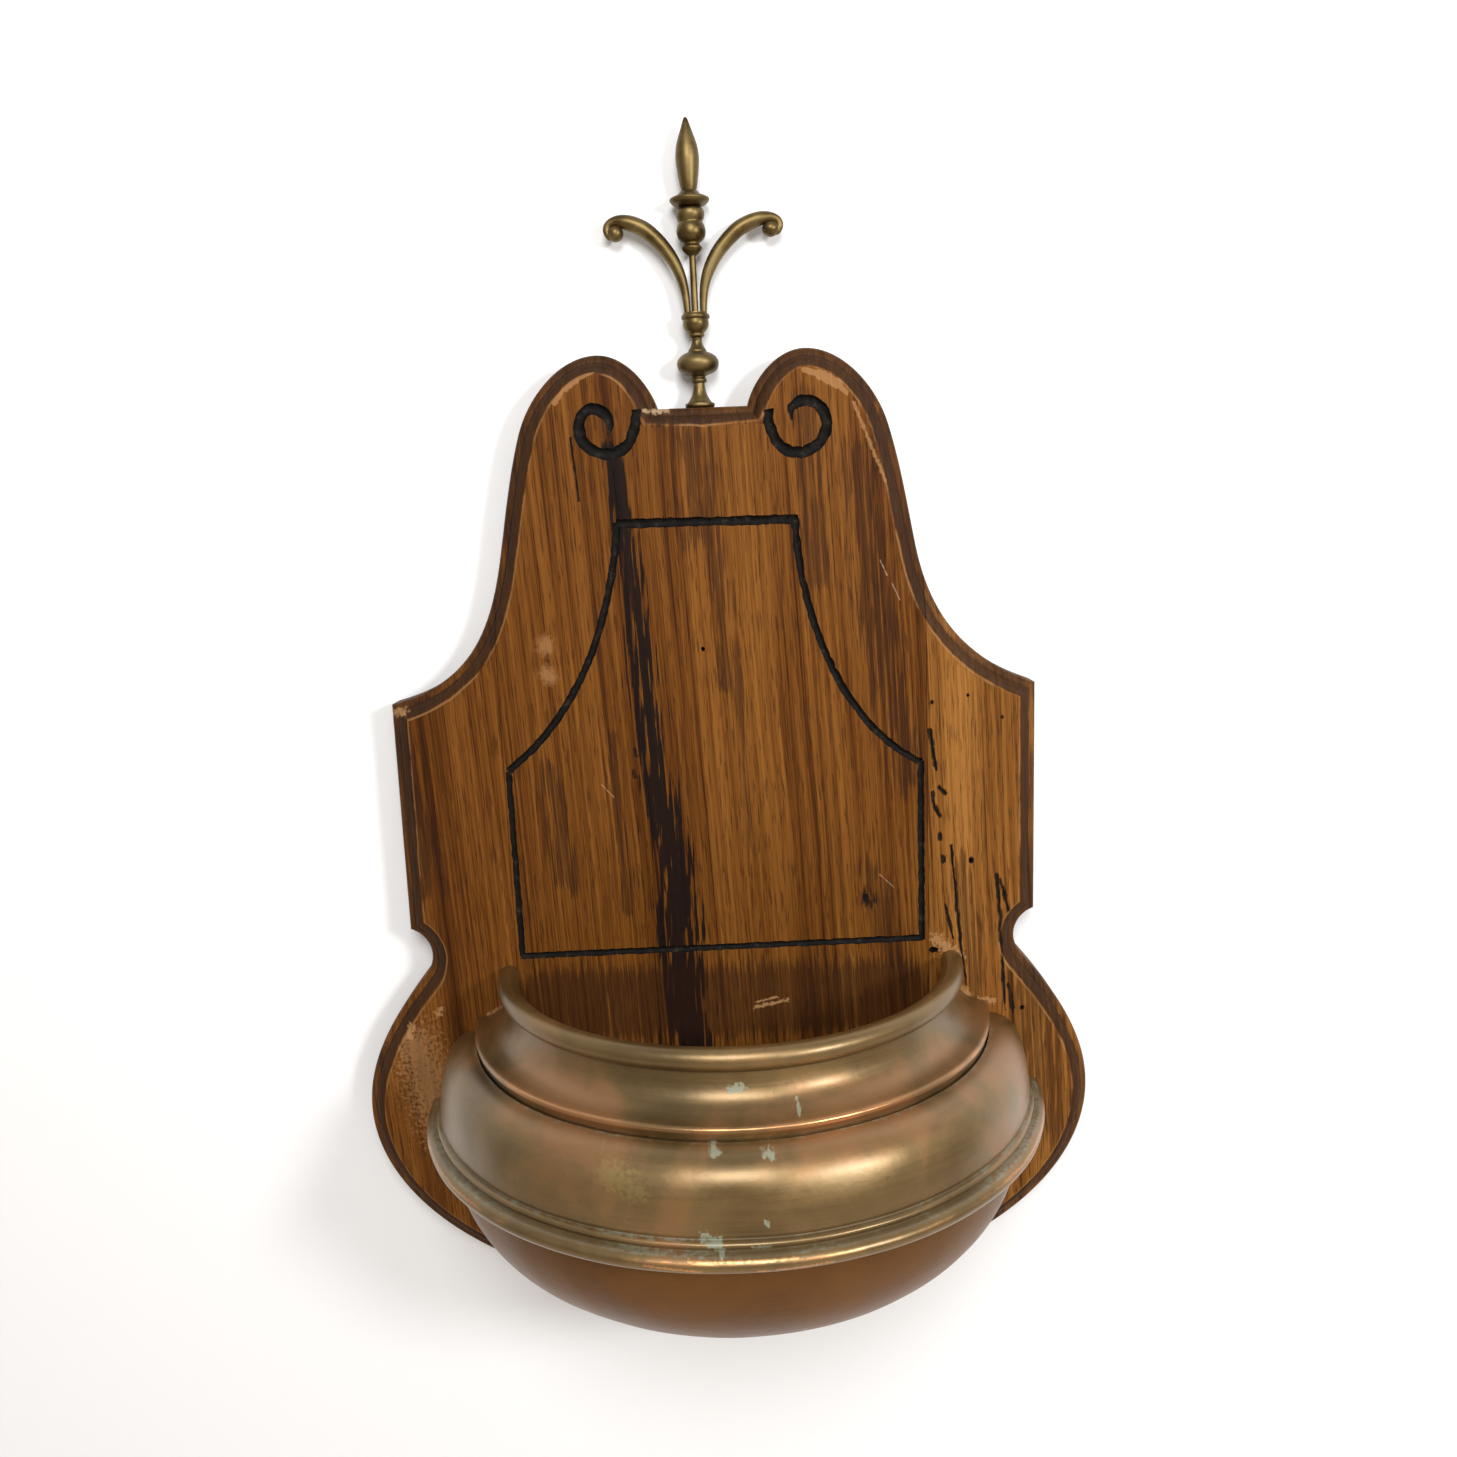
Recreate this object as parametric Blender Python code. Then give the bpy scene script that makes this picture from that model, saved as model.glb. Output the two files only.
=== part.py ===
"""A wall-hung baptismal font: a half-round copper basin let into a shaped walnut backboard,
a loose inner pan that holds the water, and a turned brass finial with two scroll arms.

Axes: +X to the right, +Z up. The wall is the plane Y = 0 and the font faces -Y.
The origin is on the wall plane, on the board's centreline, level with the middle of the rim bead.
"""
import math

import bmesh
import bpy
import numpy as np
from mathutils import Matrix, Vector

MM = 0.001
TAU = 2 * math.pi

# ---- fits
CLEAR = 0.3 * MM           # gap between pieces that touch
HOUSING_CLEAR = 0.7 * MM   # gap round a shell where it is let into the board

# ---- board
BOARD_THICK = 28 * MM
STRIP_HALF = 26.5 * MM     # half of the level strip between the volutes
STRIP_Z = 342.3 * MM
VOLUTE_X = 60.7 * MM       # crown of each volute
VOLUTE_Z = 374 * MM
NECK_X = 109 * MM          # outer side of the volute
NECK_Z = 330 * MM
WAIST_X = 124.6 * MM
WAIST_Z = 258 * MM
SHOULDER_X = 196.5 * MM
SHOULDER_Z = 172.6 * MM
EAR_FOOT_Z = 29.1 * MM     # lower end of the straight side
NOTCH_R = 18 * MM
NOTCH_DEPTH = 12.5 * MM    # how far the notch bites in behind the straight side
LOBE_MARGIN = 37 * MM      # wood outside the basin's belt
LOBE_FOOT = 41.6 * MM      # wood below the bowl
MOULD_WIDTH = 11.2 * MM    # face arris to outer edge
MOULD_DEPTH = 10 * MM      # face to the widest point of the edge
MOULD_DROP = 1.8 * MM      # step at the arris
MOULD_BEAD = 3.6 * MM      # rounded outer member

# ---- grooves carved in the face
GROOVE_WIDTH = 5.4 * MM
GROOVE_DEPTH = 2.6 * MM
PANEL_TOP_X = 50.9 * MM
PANEL_TOP_Z = 276.3 * MM
PANEL_HALF = 125.4 * MM
PANEL_CORNER_Z = 128.3 * MM
PANEL_FOOT_LEFT_Z = 12 * MM
PANEL_FOOT_RIGHT_Z = 16.8 * MM
EYE_X = 57 * MM            # centre of each carved volute
EYE_Z = 332 * MM
EYE_R = 15.6 * MM

# ---- planks, dowels and battens
SEAM_LAND = 0.9 * MM       # wood between the panel groove and the glue joint
DOWEL_R = 4 * MM
DOWEL_LENGTH = 50 * MM
DOWEL_HEIGHTS = (110 * MM, 60 * MM, -60 * MM)
BATTEN_THICK = 11 * MM
BATTEN_HEIGHT = 40 * MM
UPPER_BATTEN_Z = 212 * MM
UPPER_BATTEN_HALF = 104 * MM
LOWER_BATTEN_Z = -118 * MM
LOWER_BATTEN_HALF = 172 * MM
BATTEN_SCREW_INSET = 22 * MM

# ---- hanger plates
HANGER_X = 60 * MM
HANGER_Z = 318 * MM
HANGER_WIDTH = 18 * MM
HANGER_HEIGHT = 50 * MM
HANGER_THICK = 2 * MM
KEYHOLE_R = 4.8 * MM
KEYSLOT_R = 2.4 * MM
KEYSLOT_RISE = 10 * MM
KEY_POCKET = 8 * MM        # room behind the plate for the wall screw's head

# ---- basin
SHEET = 1.5 * MM
AXIS_X = 4.5 * MM          # the basin is fixed a little right of the board's centreline
HOUSING_DEPTH = 6.1 * MM   # how far the shells are let into the board's face
RIM_R = 138.5 * MM         # centre of the rim bead
RIM_TUBE_R = 6.5 * MM
RIM_TUBE_WALL = 1 * MM
RIM_SEAM = 18              # degrees left open each side of the bead's seam
NECK_FLARE = 22 * MM       # from the rim's centre out to the ridge
NECK_DROP = 28.3 * MM
LIP_DROP = 6.4 * MM        # rolled lip under the ridge
LAP = 8 * MM               # height of a soldered lap
SHOULDER_FLARE = 24.2 * MM
SHOULDER_DROP = 39.2 * MM
FILLET_BEAD = 5.4 * MM     # height of the small bead
BELT_BEAD = 11 * MM        # height of the large bead
BELT_STEP = 6 * MM         # from the shoulder's foot out to the belt's lower edge
BELT_SWELL = 3.4 * MM      # how far the large bead bulges
BOWL_SETBACK = 11.2 * MM   # bowl inside the belt
BOWL_DEPTH = 98.4 * MM
BOWL_POWER = 2.33          # 2 would be a true ellipse
BASIN_STEPS = 24           # facets in the half turn

# ---- inner pan
PAN_LIFT_GAP = 8 * MM      # room between the pan and the rim bead as the pan is lifted out
PAN_TOP_Z = -62 * MM
PAN_SHEET = 1.2 * MM
PAN_CORNER_R = 9 * MM
PAN_REST_GAP = 0.8 * MM

# ---- tabs that hold the shells to the board
TAB_WIDTH = 16 * MM
TAB_FOOT = 20 * MM
TAB_LEG = 13 * MM
TAB_THICK = 1.5 * MM
TAB_HOLE = 12 * MM         # from the leg to the screw
UPPER_TAB_Z = -62 * MM
LOWER_TAB_Z = -112 * MM

# ---- wood screws
SCREW_R = 1.9 * MM
SCREW_HEAD_R = 3.9 * MM
SCREW_HEAD_H = 2.4 * MM
TAB_SCREW = 15 * MM
BATTEN_SCREW = 19 * MM
HANGER_SCREW = 13 * MM

# ---- finial
FINIAL_X = -1.2 * MM
FINIAL_LEAN = -0.8         # degrees, to the left
ROD_R = 1.95 * MM
ROD_SINK = 16 * MM
INSERT_R = 4 * MM
INSERT_LENGTH = 18 * MM
BULB_FOOT = 18.4 * MM      # heights above the board's top strip
CUP_FOOT = 40.4 * MM
CUP_TOP = 54.4 * MM
KNOP_FOOT = 86.4 * MM
DISH_FOOT = 113 * MM
SPEAR_FOOT = 122 * MM
SPEAR_TIP = 162 * MM
SOCKET_DEPTH = 11 * MM
ARM_SPREAD = 4.6 * MM
TURNED_STEPS = 14
SCREW_STEPS = 8

# ---- what follows from them
FACE_Y = -BOARD_THICK
AXIS_Y = FACE_Y + HOUSING_DEPTH
SEAM_X = PANEL_HALF + GROOVE_WIDTH / 2 + SEAM_LAND
RIDGE_R = RIM_R + NECK_FLARE
RIDGE_Z = -NECK_DROP
LIP_Z = RIDGE_Z - LIP_DROP
SHOULDER_FOOT_R = RIDGE_R + SHOULDER_FLARE
SHOULDER_FOOT_Z = LIP_Z - SHOULDER_DROP
FILLET_Z = SHOULDER_FOOT_Z - FILLET_BEAD
BELT_R = SHOULDER_FOOT_R + BELT_STEP
BELT_Z = FILLET_Z - BELT_BEAD
BOWL_R = BELT_R - BOWL_SETBACK
BOWL_Z = BELT_Z - SHEET
BOWL_FOOT_Z = BOWL_Z - BOWL_DEPTH
LOBE_HALF = BELT_R + BELT_SWELL + LOBE_MARGIN
LOBE_Z = BELT_Z
PAN_Y = FACE_Y - TAB_THICK - SCREW_HEAD_H - 3 * CLEAR
PAN_R = RIM_R - RIM_TUBE_R - PAN_LIFT_GAP - (AXIS_Y - PAN_Y)
FINIAL_Y = -(BOARD_THICK - MOULD_DEPTH) / 2
BATTENS = (("upper", UPPER_BATTEN_Z, UPPER_BATTEN_HALF), ("lower", LOWER_BATTEN_Z, LOWER_BATTEN_HALF))

for old in list(bpy.data.objects):
    bpy.data.objects.remove(old, do_unlink=True)


# ---------------------------------------------------------------- materials
def material(name, colour, roughness, metallic):
    made = bpy.data.materials.new(name)
    made.use_nodes = True
    shader = made.node_tree.nodes["Principled BSDF"]
    shader.inputs["Base Color"].default_value = (*colour, 1)
    shader.inputs["Roughness"].default_value = roughness
    shader.inputs["Metallic"].default_value = metallic
    return made


WALNUT = material("walnut", (0.23, 0.10, 0.035), 0.45, 0)
WALNUT_PALE = material("pale walnut", (0.33, 0.17, 0.06), 0.45, 0)
BEECH = material("beech", (0.55, 0.38, 0.22), 0.6, 0)
OAK = material("oak", (0.30, 0.20, 0.11), 0.6, 0)
COPPER = material("aged copper", (0.36, 0.21, 0.09), 0.36, 1)
RED_COPPER = material("red copper", (0.33, 0.15, 0.07), 0.38, 1)
TINNED = material("tinned copper", (0.52, 0.50, 0.46), 0.35, 1)
BRASS = material("dull brass", (0.33, 0.24, 0.10), 0.38, 1)
IRON = material("iron", (0.10, 0.09, 0.08), 0.55, 1)


# ---------------------------------------------------------------- outlines
def sweep(start, leave, end, arrive, steps, pull=(0.34, 0.34)):
    """A smooth curve that leaves and arrives at angles in degrees, without its last point."""
    a, d = Vector(start), Vector(end)
    chord = (d - a).length
    b = a + Vector((math.cos(math.radians(leave)), math.sin(math.radians(leave)))) * chord * pull[0]
    c = d - Vector((math.cos(math.radians(arrive)), math.sin(math.radians(arrive)))) * chord * pull[1]
    curve = []
    for i in range(steps):
        t = i / steps
        curve.append(a * (1 - t) ** 3 + b * 3 * t * (1 - t) ** 2 + c * 3 * t * t * (1 - t) + d * t ** 3)
    return [tuple(p) for p in curve]


def arc(centre, radius_x, radius_z, start, end, steps):
    """An elliptical arc by angle in degrees, with both of its ends."""
    angles = np.radians(np.linspace(start, end, steps + 1))
    return [(centre[0] + radius_x * math.cos(a), centre[1] + radius_z * math.sin(a)) for a in angles]


def offset(points, distance, closed):
    """The polyline moved sideways: to the left of its own direction for a positive distance."""
    p = np.array(points)
    before = np.roll(p, 1, 0) if closed else np.vstack([2 * p[0] - p[1], p[:-1]])
    after = np.roll(p, -1, 0) if closed else np.vstack([p[1:], 2 * p[-1] - p[-2]])
    into, out = p - before, after - p
    into /= np.linalg.norm(into, axis=1)[:, None]
    out /= np.linalg.norm(out, axis=1)[:, None]
    left = np.c_[-into[:, 1], into[:, 0]] + np.c_[-out[:, 1], out[:, 0]]
    scale = 1 + (into * out).sum(1)
    return [tuple(q) for q in p + distance * left / scale[:, None]]


def board_half():
    """The right half of the board's outline, from the middle of its top down to the middle of its foot."""
    notch_x = SHOULDER_X - NOTCH_DEPTH + NOTCH_R
    notch_rise = math.acos((notch_x - SHOULDER_X) / NOTCH_R)
    notch_z = EAR_FOOT_Z - NOTCH_R * math.sin(notch_rise)
    half = [(0, STRIP_Z)]
    half += sweep((STRIP_HALF, STRIP_Z), 77, (VOLUTE_X, VOLUTE_Z), 0, 6, (0.30, 0.36))
    half += sweep((VOLUTE_X, VOLUTE_Z), 0, (NECK_X, NECK_Z), -73, 8)
    half += sweep((NECK_X, NECK_Z), -73, (WAIST_X, WAIST_Z), -79, 4)
    half += sweep((WAIST_X, WAIST_Z), -79, (SHOULDER_X, SHOULDER_Z), -21, 9, (0.39, 0.43))
    half += [(SHOULDER_X, SHOULDER_Z)]
    bite = arc((notch_x, notch_z), NOTCH_R, NOTCH_R, 180 - math.degrees(notch_rise), 220, 7)
    half += bite[:-1]
    half += sweep(bite[-1], -50, (LOBE_HALF, LOBE_Z), -90, 7, (0.36, 0.33))
    foot = arc((0, LOBE_Z), LOBE_HALF, LOBE_Z - BOWL_FOOT_Z + LOBE_FOOT, 0, -90, 13)
    return half + foot


def board_outline():
    half = board_half()
    return half + [(-x, z) for x, z in reversed(half[1:-1])]


def rim_ring():
    """The rim bead: a tube with a narrow seam along its underside."""
    steps = 9
    outer = arc((RIM_R, 0), RIM_TUBE_R, RIM_TUBE_R, RIM_SEAM - 90, 270 - RIM_SEAM, steps)
    bore = RIM_TUBE_R - RIM_TUBE_WALL
    inner = arc((RIM_R, 0), bore, bore, 270 - RIM_SEAM, RIM_SEAM - 90, steps)
    return outer + inner


def collar_profile():
    """Outside of the neck collar: a hollow sweep from the rim bead to the ridge, a lip, and the lap below."""
    top = (RIM_R + SHEET, -RIM_TUBE_R - CLEAR)
    lap_r = RIDGE_R - SHEET - CLEAR
    profile = sweep(top, -86, (RIDGE_R, RIDGE_Z + 0.5 * MM), -14, 6, (0.5, 0.45))
    profile += [(RIDGE_R, RIDGE_Z + 0.5 * MM), (RIDGE_R + 0.8 * MM, RIDGE_Z - 1.4 * MM)]
    profile += [(RIDGE_R + 0.4 * MM, LIP_Z + 2 * MM), (lap_r, LIP_Z + CLEAR), (lap_r, LIP_Z - LAP)]
    return profile


def shoulder_profile():
    """Outside of the shoulder: the swelling quarter, the small bead, the large bead and the turned-in hem."""
    top = (RIDGE_R + CLEAR, LIP_Z - CLEAR)
    profile = sweep(top, -8, (SHOULDER_FOOT_R, SHOULDER_FOOT_Z), -89, 7, (0.4, 0.5))
    fillet = sweep((SHOULDER_FOOT_R, SHOULDER_FOOT_Z), -10,
                   (SHOULDER_FOOT_R + 2.4 * MM, FILLET_Z), -130, 3, (0.7, 0.5))
    swell = arc((SHOULDER_FOOT_R + 3.4 * MM, (FILLET_Z + BELT_Z) / 2),
                BELT_STEP + BELT_SWELL - 3.4 * MM, BELT_BEAD / 2, 76, -72, 5)
    profile += fillet + swell
    profile += [(BELT_R - 2 * MM, BELT_Z - 0.9 * MM), (BOWL_R + 3 * MM, BELT_Z - SHEET)]
    profile += [(BOWL_R + CLEAR, BELT_Z - SHEET)]
    return profile


def bowl_profile(radius, depth, steps):
    """A rounded bowl, from its brim to its pole, by the superellipse rule."""
    profile = []
    for i in range(steps + 1):
        turn = i / steps * math.pi / 2
        across = radius * math.cos(turn) ** (2 / BOWL_POWER) if i < steps else 0
        profile.append((across, BOWL_Z - depth * math.sin(turn) ** (2 / BOWL_POWER)))
    return profile


def bowl_inside_z(radius):
    """Height of the bowl's inner surface at a distance from the basin's axis."""
    share = 1 - min(radius / (BOWL_R - SHEET), 1) ** BOWL_POWER
    return BOWL_Z - (BOWL_DEPTH - SHEET) * share ** (1 / BOWL_POWER)


def bowl_ring():
    steps = 11
    outer = [(BOWL_R, BOWL_Z + LAP)] + bowl_profile(BOWL_R, BOWL_DEPTH, steps)
    inner = [(BOWL_R - SHEET, BOWL_Z + LAP)] + bowl_profile(BOWL_R - SHEET, BOWL_DEPTH - SHEET, steps)
    return outer + inner[::-1]


def sheet_ring(profile):
    """A closed section: the outside of a shell and its inside, one sheet thickness in."""
    return profile + offset(profile, -SHEET, False)[::-1]


def inner_radius(profile, z):
    """Inner radius of a shell at a height."""
    inner = np.array(offset(profile, -SHEET, False))
    order = np.argsort(inner[:, 1])
    return float(np.interp(z, inner[order, 1], inner[order, 0]))


# ---------------------------------------------------------------- mesh tools
def finish(name, bm, finish_material, smooth=True):
    """Turn a bmesh into a named object."""
    bmesh.ops.remove_doubles(bm, verts=bm.verts, dist=1e-7)
    bmesh.ops.recalc_face_normals(bm, faces=bm.faces)
    mesh = bpy.data.meshes.new(name)
    bm.to_mesh(mesh)
    bm.free()
    if smooth:
        mesh.shade_smooth()
        mesh.set_sharp_from_angle(angle=math.radians(35))
    obj = bpy.data.objects.new(name, mesh)
    bpy.context.scene.collection.objects.link(obj)
    if finish_material:
        mesh.materials.append(finish_material)
    return obj


def turned(ring, steps=TURNED_STEPS, turn=TAU, start=0.0):
    """Spin a closed (radius, height) section about the Z axis; a part turn gets two flat ends."""
    bm = bmesh.new()
    corners = [bm.verts.new((r * math.cos(start), r * math.sin(start), z)) for r, z in ring]
    edges = [bm.edges.new((a, b)) for a, b in zip(corners, corners[1:] + corners[:1])]
    full = abs(turn - TAU) < 1e-9
    made = bmesh.ops.spin(bm, geom=edges, cent=(0, 0, 0), axis=(0, 0, 1), angle=turn, steps=steps,
                          use_merge=full)
    if not full:
        last = [v for v in made["geom_last"] if isinstance(v, bmesh.types.BMVert)]
        far = sorted(last, key=lambda v: min(range(len(ring)), key=lambda i: rim_gap(v, ring[i])))
        bm.faces.new(corners)
        bm.faces.new(far)
    bmesh.ops.remove_doubles(bm, verts=bm.verts, dist=1e-7)
    return bm


def rim_gap(vertex, corner):
    return math.hypot(math.hypot(vertex.co.x, vertex.co.y) - corner[0], vertex.co.z - corner[1])


def place(bm, x=0.0, y=0.0, z=0.0):
    bmesh.ops.translate(bm, verts=bm.verts, vec=(x, y, z))
    return bm


def half_shell(name, ring, finish_material):
    """A half-round piece of the basin, standing on the basin's axis and open towards the wall."""
    bm = turned(ring, BASIN_STEPS, math.pi, math.pi)
    return finish(name, place(bm, AXIS_X, AXIS_Y), finish_material)


def slab(outline, y_near, y_far):
    """A flat (x, z) outline made solid between two depths."""
    bm = bmesh.new()
    face = bm.faces.new([bm.verts.new((x, y_near, z)) for x, z in outline])
    grown = bmesh.ops.extrude_face_region(bm, geom=[face], use_keep_orig=True)
    moved = [v for v in grown["geom"] if isinstance(v, bmesh.types.BMVert)]
    bmesh.ops.translate(bm, verts=moved, vec=(0, y_far - y_near, 0))
    return bm


def box(low, high):
    bm = bmesh.new()
    bmesh.ops.create_cube(bm, size=1)
    size = Vector(high) - Vector(low)
    bmesh.ops.scale(bm, verts=bm.verts, vec=size)
    return place(bm, *((Vector(high) + Vector(low)) / 2))


def rod(radius, length, steps=12):
    """A plain cylinder standing on the origin."""
    bm = bmesh.new()
    bmesh.ops.create_cone(bm, cap_ends=True, segments=steps, radius1=radius, radius2=radius, depth=length)
    return place(bm, z=length / 2)


def along(bm, direction):
    """Lay a shape that stands on +Z along another direction."""
    turn = Vector((0, 0, 1)).rotation_difference(Vector(direction)).to_matrix()
    bmesh.ops.rotate(bm, verts=bm.verts, cent=(0, 0, 0), matrix=turn)
    return bm


def trench(path, width, depth, closed):
    """A groove of even width along a path on the board's face, as a cutter."""
    bm = bmesh.new()
    sides = (offset(path, width / 2, closed), offset(path, -width / 2, closed))
    rows = []
    for left, right in zip(*sides):
        near, deep = FACE_Y - MM, FACE_Y + depth
        corners = ((left, near), (right, near), (right, deep), (left, deep))
        rows.append([bm.verts.new((p[0], y, p[1])) for p, y in corners])
    pairs = list(zip(rows, rows[1:] + rows[:1])) if closed else list(zip(rows, rows[1:]))
    for here, there in pairs:
        for i in range(4):
            bm.faces.new((here[i], here[(i + 1) % 4], there[(i + 1) % 4], there[i]))
    if not closed:
        bm.faces.new(rows[0])
        bm.faces.new(rows[-1])
    return bm


def cut(obj, cutters, operation="DIFFERENCE"):
    """Cut shapes out of a piece; the cutters stay in the scene as wires."""
    for i, bm in enumerate(cutters):
        cutter = finish(f"cutter.{obj.name}.{i}", bm, None, smooth=False)
        cutter.hide_render = True
        cutter.display_type = "WIRE"
        step = obj.modifiers.new(f"cut {i}", "BOOLEAN")
        step.operation = operation
        step.solver = "EXACT"
        step.object = cutter


# ---------------------------------------------------------------- board
def moulded_board(name, finish_material):
    """The whole board with its moulded edge: the outline stepped inwards towards the face."""
    outline = board_outline()
    steps = [(MOULD_WIDTH, 0), (MOULD_WIDTH - 0.4 * MM, MOULD_DROP)]
    cove_w, cove_d = MOULD_WIDTH - MOULD_BEAD - 0.4 * MM, MOULD_DEPTH - MOULD_BEAD + 1.2 * MM - MOULD_DROP
    for turn in (45, 90):
        steps.append((MOULD_BEAD + cove_w * (1 - math.sin(math.radians(turn))),
                      MOULD_DROP + cove_d * (1 - math.cos(math.radians(turn)))))
    for turn in (45, 90):
        steps.append((MOULD_BEAD * (1 - math.sin(math.radians(turn))),
                      MOULD_DEPTH - MOULD_BEAD * math.cos(math.radians(turn)) + 1.2 * MM))
    bm = bmesh.new()
    rings = []
    for inward, depth in steps + [(0, BOARD_THICK)]:
        points = offset(outline, -inward, True)
        rings.append([bm.verts.new((x, FACE_Y + depth, z)) for x, z in points])
    bm.faces.new(rings[0])
    bm.faces.new(rings[-1])
    for here, there in zip(rings, rings[1:]):
        for i in range(len(here)):
            j = (i + 1) % len(here)
            bm.faces.new((here[i], here[j], there[j], there[i]))
    return finish(name, bm, finish_material)


def basin_housing():
    """The slot in the board's face that takes the edges of the collar, the shoulder and the bowl."""
    shoulder = shoulder_profile()
    outside = collar_profile()[:-3] + shoulder[:-2] + bowl_profile(BOWL_R, BOWL_DEPTH, 11)[2:]
    collar_inside = offset(collar_profile(), -SHEET, False)
    shoulder_inside = offset(shoulder, -SHEET, False)
    reach = [p for p in shoulder_inside if p[1] < LIP_Z - LAP and p[1] > SHOULDER_FOOT_Z]
    brim = (BOWL_R - SHEET, BOWL_Z + LAP)
    lap_inside = collar_inside[-1][0]
    inside = [p for p in collar_inside if p[0] < lap_inside - MM]
    inside += [(lap_inside, RIDGE_Z - SHEET), collar_inside[-1]] + reach + [brim]
    inside += bowl_profile(BOWL_R - SHEET, BOWL_DEPTH - SHEET, 11)[1:]
    outer = offset(outside, HOUSING_CLEAR, False)
    inner = offset(inside, -HOUSING_CLEAR, False)
    outer[-1] = (0, BOWL_FOOT_Z - HOUSING_CLEAR)
    inner[-1] = (0, BOWL_FOOT_Z + SHEET + HOUSING_CLEAR)
    outer[0] = (outer[0][0], outer[0][1] + HOUSING_CLEAR)
    inner[0] = (inner[0][0], inner[0][1] + HOUSING_CLEAR)
    right = [(AXIS_X + r, z) for r, z in outer]
    left = [(AXIS_X - r, z) for r, z in reversed(outer[:-1])]
    back = [(AXIS_X - r, z) for r, z in inner] + [(AXIS_X + r, z) for r, z in reversed(inner[:-1])]
    return slab(right + left + back, FACE_Y - MM, AXIS_Y + CLEAR)


def rim_seats(low, high):
    """Round seats in the face for the ends of the rim bead that reach a plank between two widths."""
    seats = []
    radius = RIM_TUBE_R + HOUSING_CLEAR
    for side in (-1, 1):
        x = AXIS_X + side * RIM_R
        if x + radius > low and x - radius < high:
            seat = along(rod(radius, HOUSING_DEPTH + CLEAR + MM), (0, 1, 0))
            seats.append(place(seat, x, FACE_Y - MM))
    return seats


def panel_path():
    """The closed line of the carved panel."""
    right = sweep((PANEL_TOP_X, PANEL_TOP_Z), -82, (PANEL_HALF, PANEL_CORNER_Z), -35, 8, (0.35, 0.35))
    right += [(PANEL_HALF, PANEL_CORNER_Z)]
    left = [(-x, z) for x, z in reversed(right)]
    return right + [(PANEL_HALF, PANEL_FOOT_RIGHT_Z), (-PANEL_HALF, PANEL_FOOT_LEFT_Z)] + left


def volute_path(side):
    """The carved scroll: it leaves the moulding, goes once round the eye and curls in."""
    path = []
    for i in range(17):
        turn = i / 16
        radius = EYE_R * (1 + 0.34 * max(0, 1 - turn / 0.28) ** 2 - 0.56 * (max(0, turn - 0.72) / 0.28) ** 2)
        angle = math.radians(167 + 332 * turn)
        path.append((side * (EYE_X + radius * math.cos(angle)), EYE_Z + radius * math.sin(angle)))
    return path


def dowel_places():
    """Each dowel's side, number and height. One that a tab's screw reaches into moves up, just clear of it."""
    end, room = SEAM_X + DOWEL_LENGTH / 2 + CLEAR, DOWEL_R + SCREW_R + 3 * CLEAR
    holes = [spot + inward * TAB_HOLE for _, spot, inward in tab_places()]
    places = []
    for side in (-1, 1):
        for number, z in enumerate(DOWEL_HEIGHTS, 1):
            for hole in sorted(holes, key=lambda hole: hole.z):
                if side * hole.x - SCREW_R < end and side * hole.x > 0 and abs(z - hole.z) < room:
                    z = hole.z + room
            places.append((side, number, z))
    return places


def dowel_bore(side, z):
    bore = along(rod(DOWEL_R + CLEAR, DOWEL_LENGTH + 2 * CLEAR), (1, 0, 0))
    return place(bore, side * SEAM_X - DOWEL_LENGTH / 2 - CLEAR, FACE_Y / 2, z)


def batten_bed(z, half):
    low = (-half - CLEAR, -BATTEN_THICK - CLEAR, z - BATTEN_HEIGHT / 2 - CLEAR)
    return box(low, (half + CLEAR, MM, z + BATTEN_HEIGHT / 2 + CLEAR))


def batten_screw_places():
    places = []
    for name, z, half in BATTENS:
        reach = half - BATTEN_SCREW_INSET
        places += [(name, "left", -reach, z), (name, "middle", 0, z), (name, "right", reach, z)]
    return places


def tab_places():
    """Each tab: its name, a point on the inside of a shell at the board's face, and the way inwards."""
    shoulder, bowl = shoulder_profile(), bowl_ring()[:12]
    reach = TAB_WIDTH / 2
    places = []
    for level, profile, z in (("upper", shoulder, UPPER_TAB_Z), ("lower", bowl, LOWER_TAB_Z)):
        wall = min(inner_radius(profile, z - reach), inner_radius(profile, z + reach))
        sag = TAB_LEG ** 2 / wall
        for side, way in (("left", -1), ("right", 1)):
            spot = Vector((AXIS_X + way * (wall - sag - CLEAR), FACE_Y - CLEAR, z))
            places.append((f"{level}_{side}", spot, Vector((-way, 0, 0))))
    floor = bowl_inside_z(math.hypot(TAB_LEG, reach)) + 2 * CLEAR
    places.append(("bottom", Vector((AXIS_X, FACE_Y - CLEAR, floor)), Vector((0, 0, 1))))
    return places


def pilot(spot, length, direction, radius=SCREW_R):
    """A bore for a screw's shank, from just outside a face inwards."""
    bore = along(rod(radius + CLEAR, length + 2 * CLEAR + MM, 10), direction)
    start = Vector(spot) - Vector(direction) * MM
    return place(bore, *start)


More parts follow.
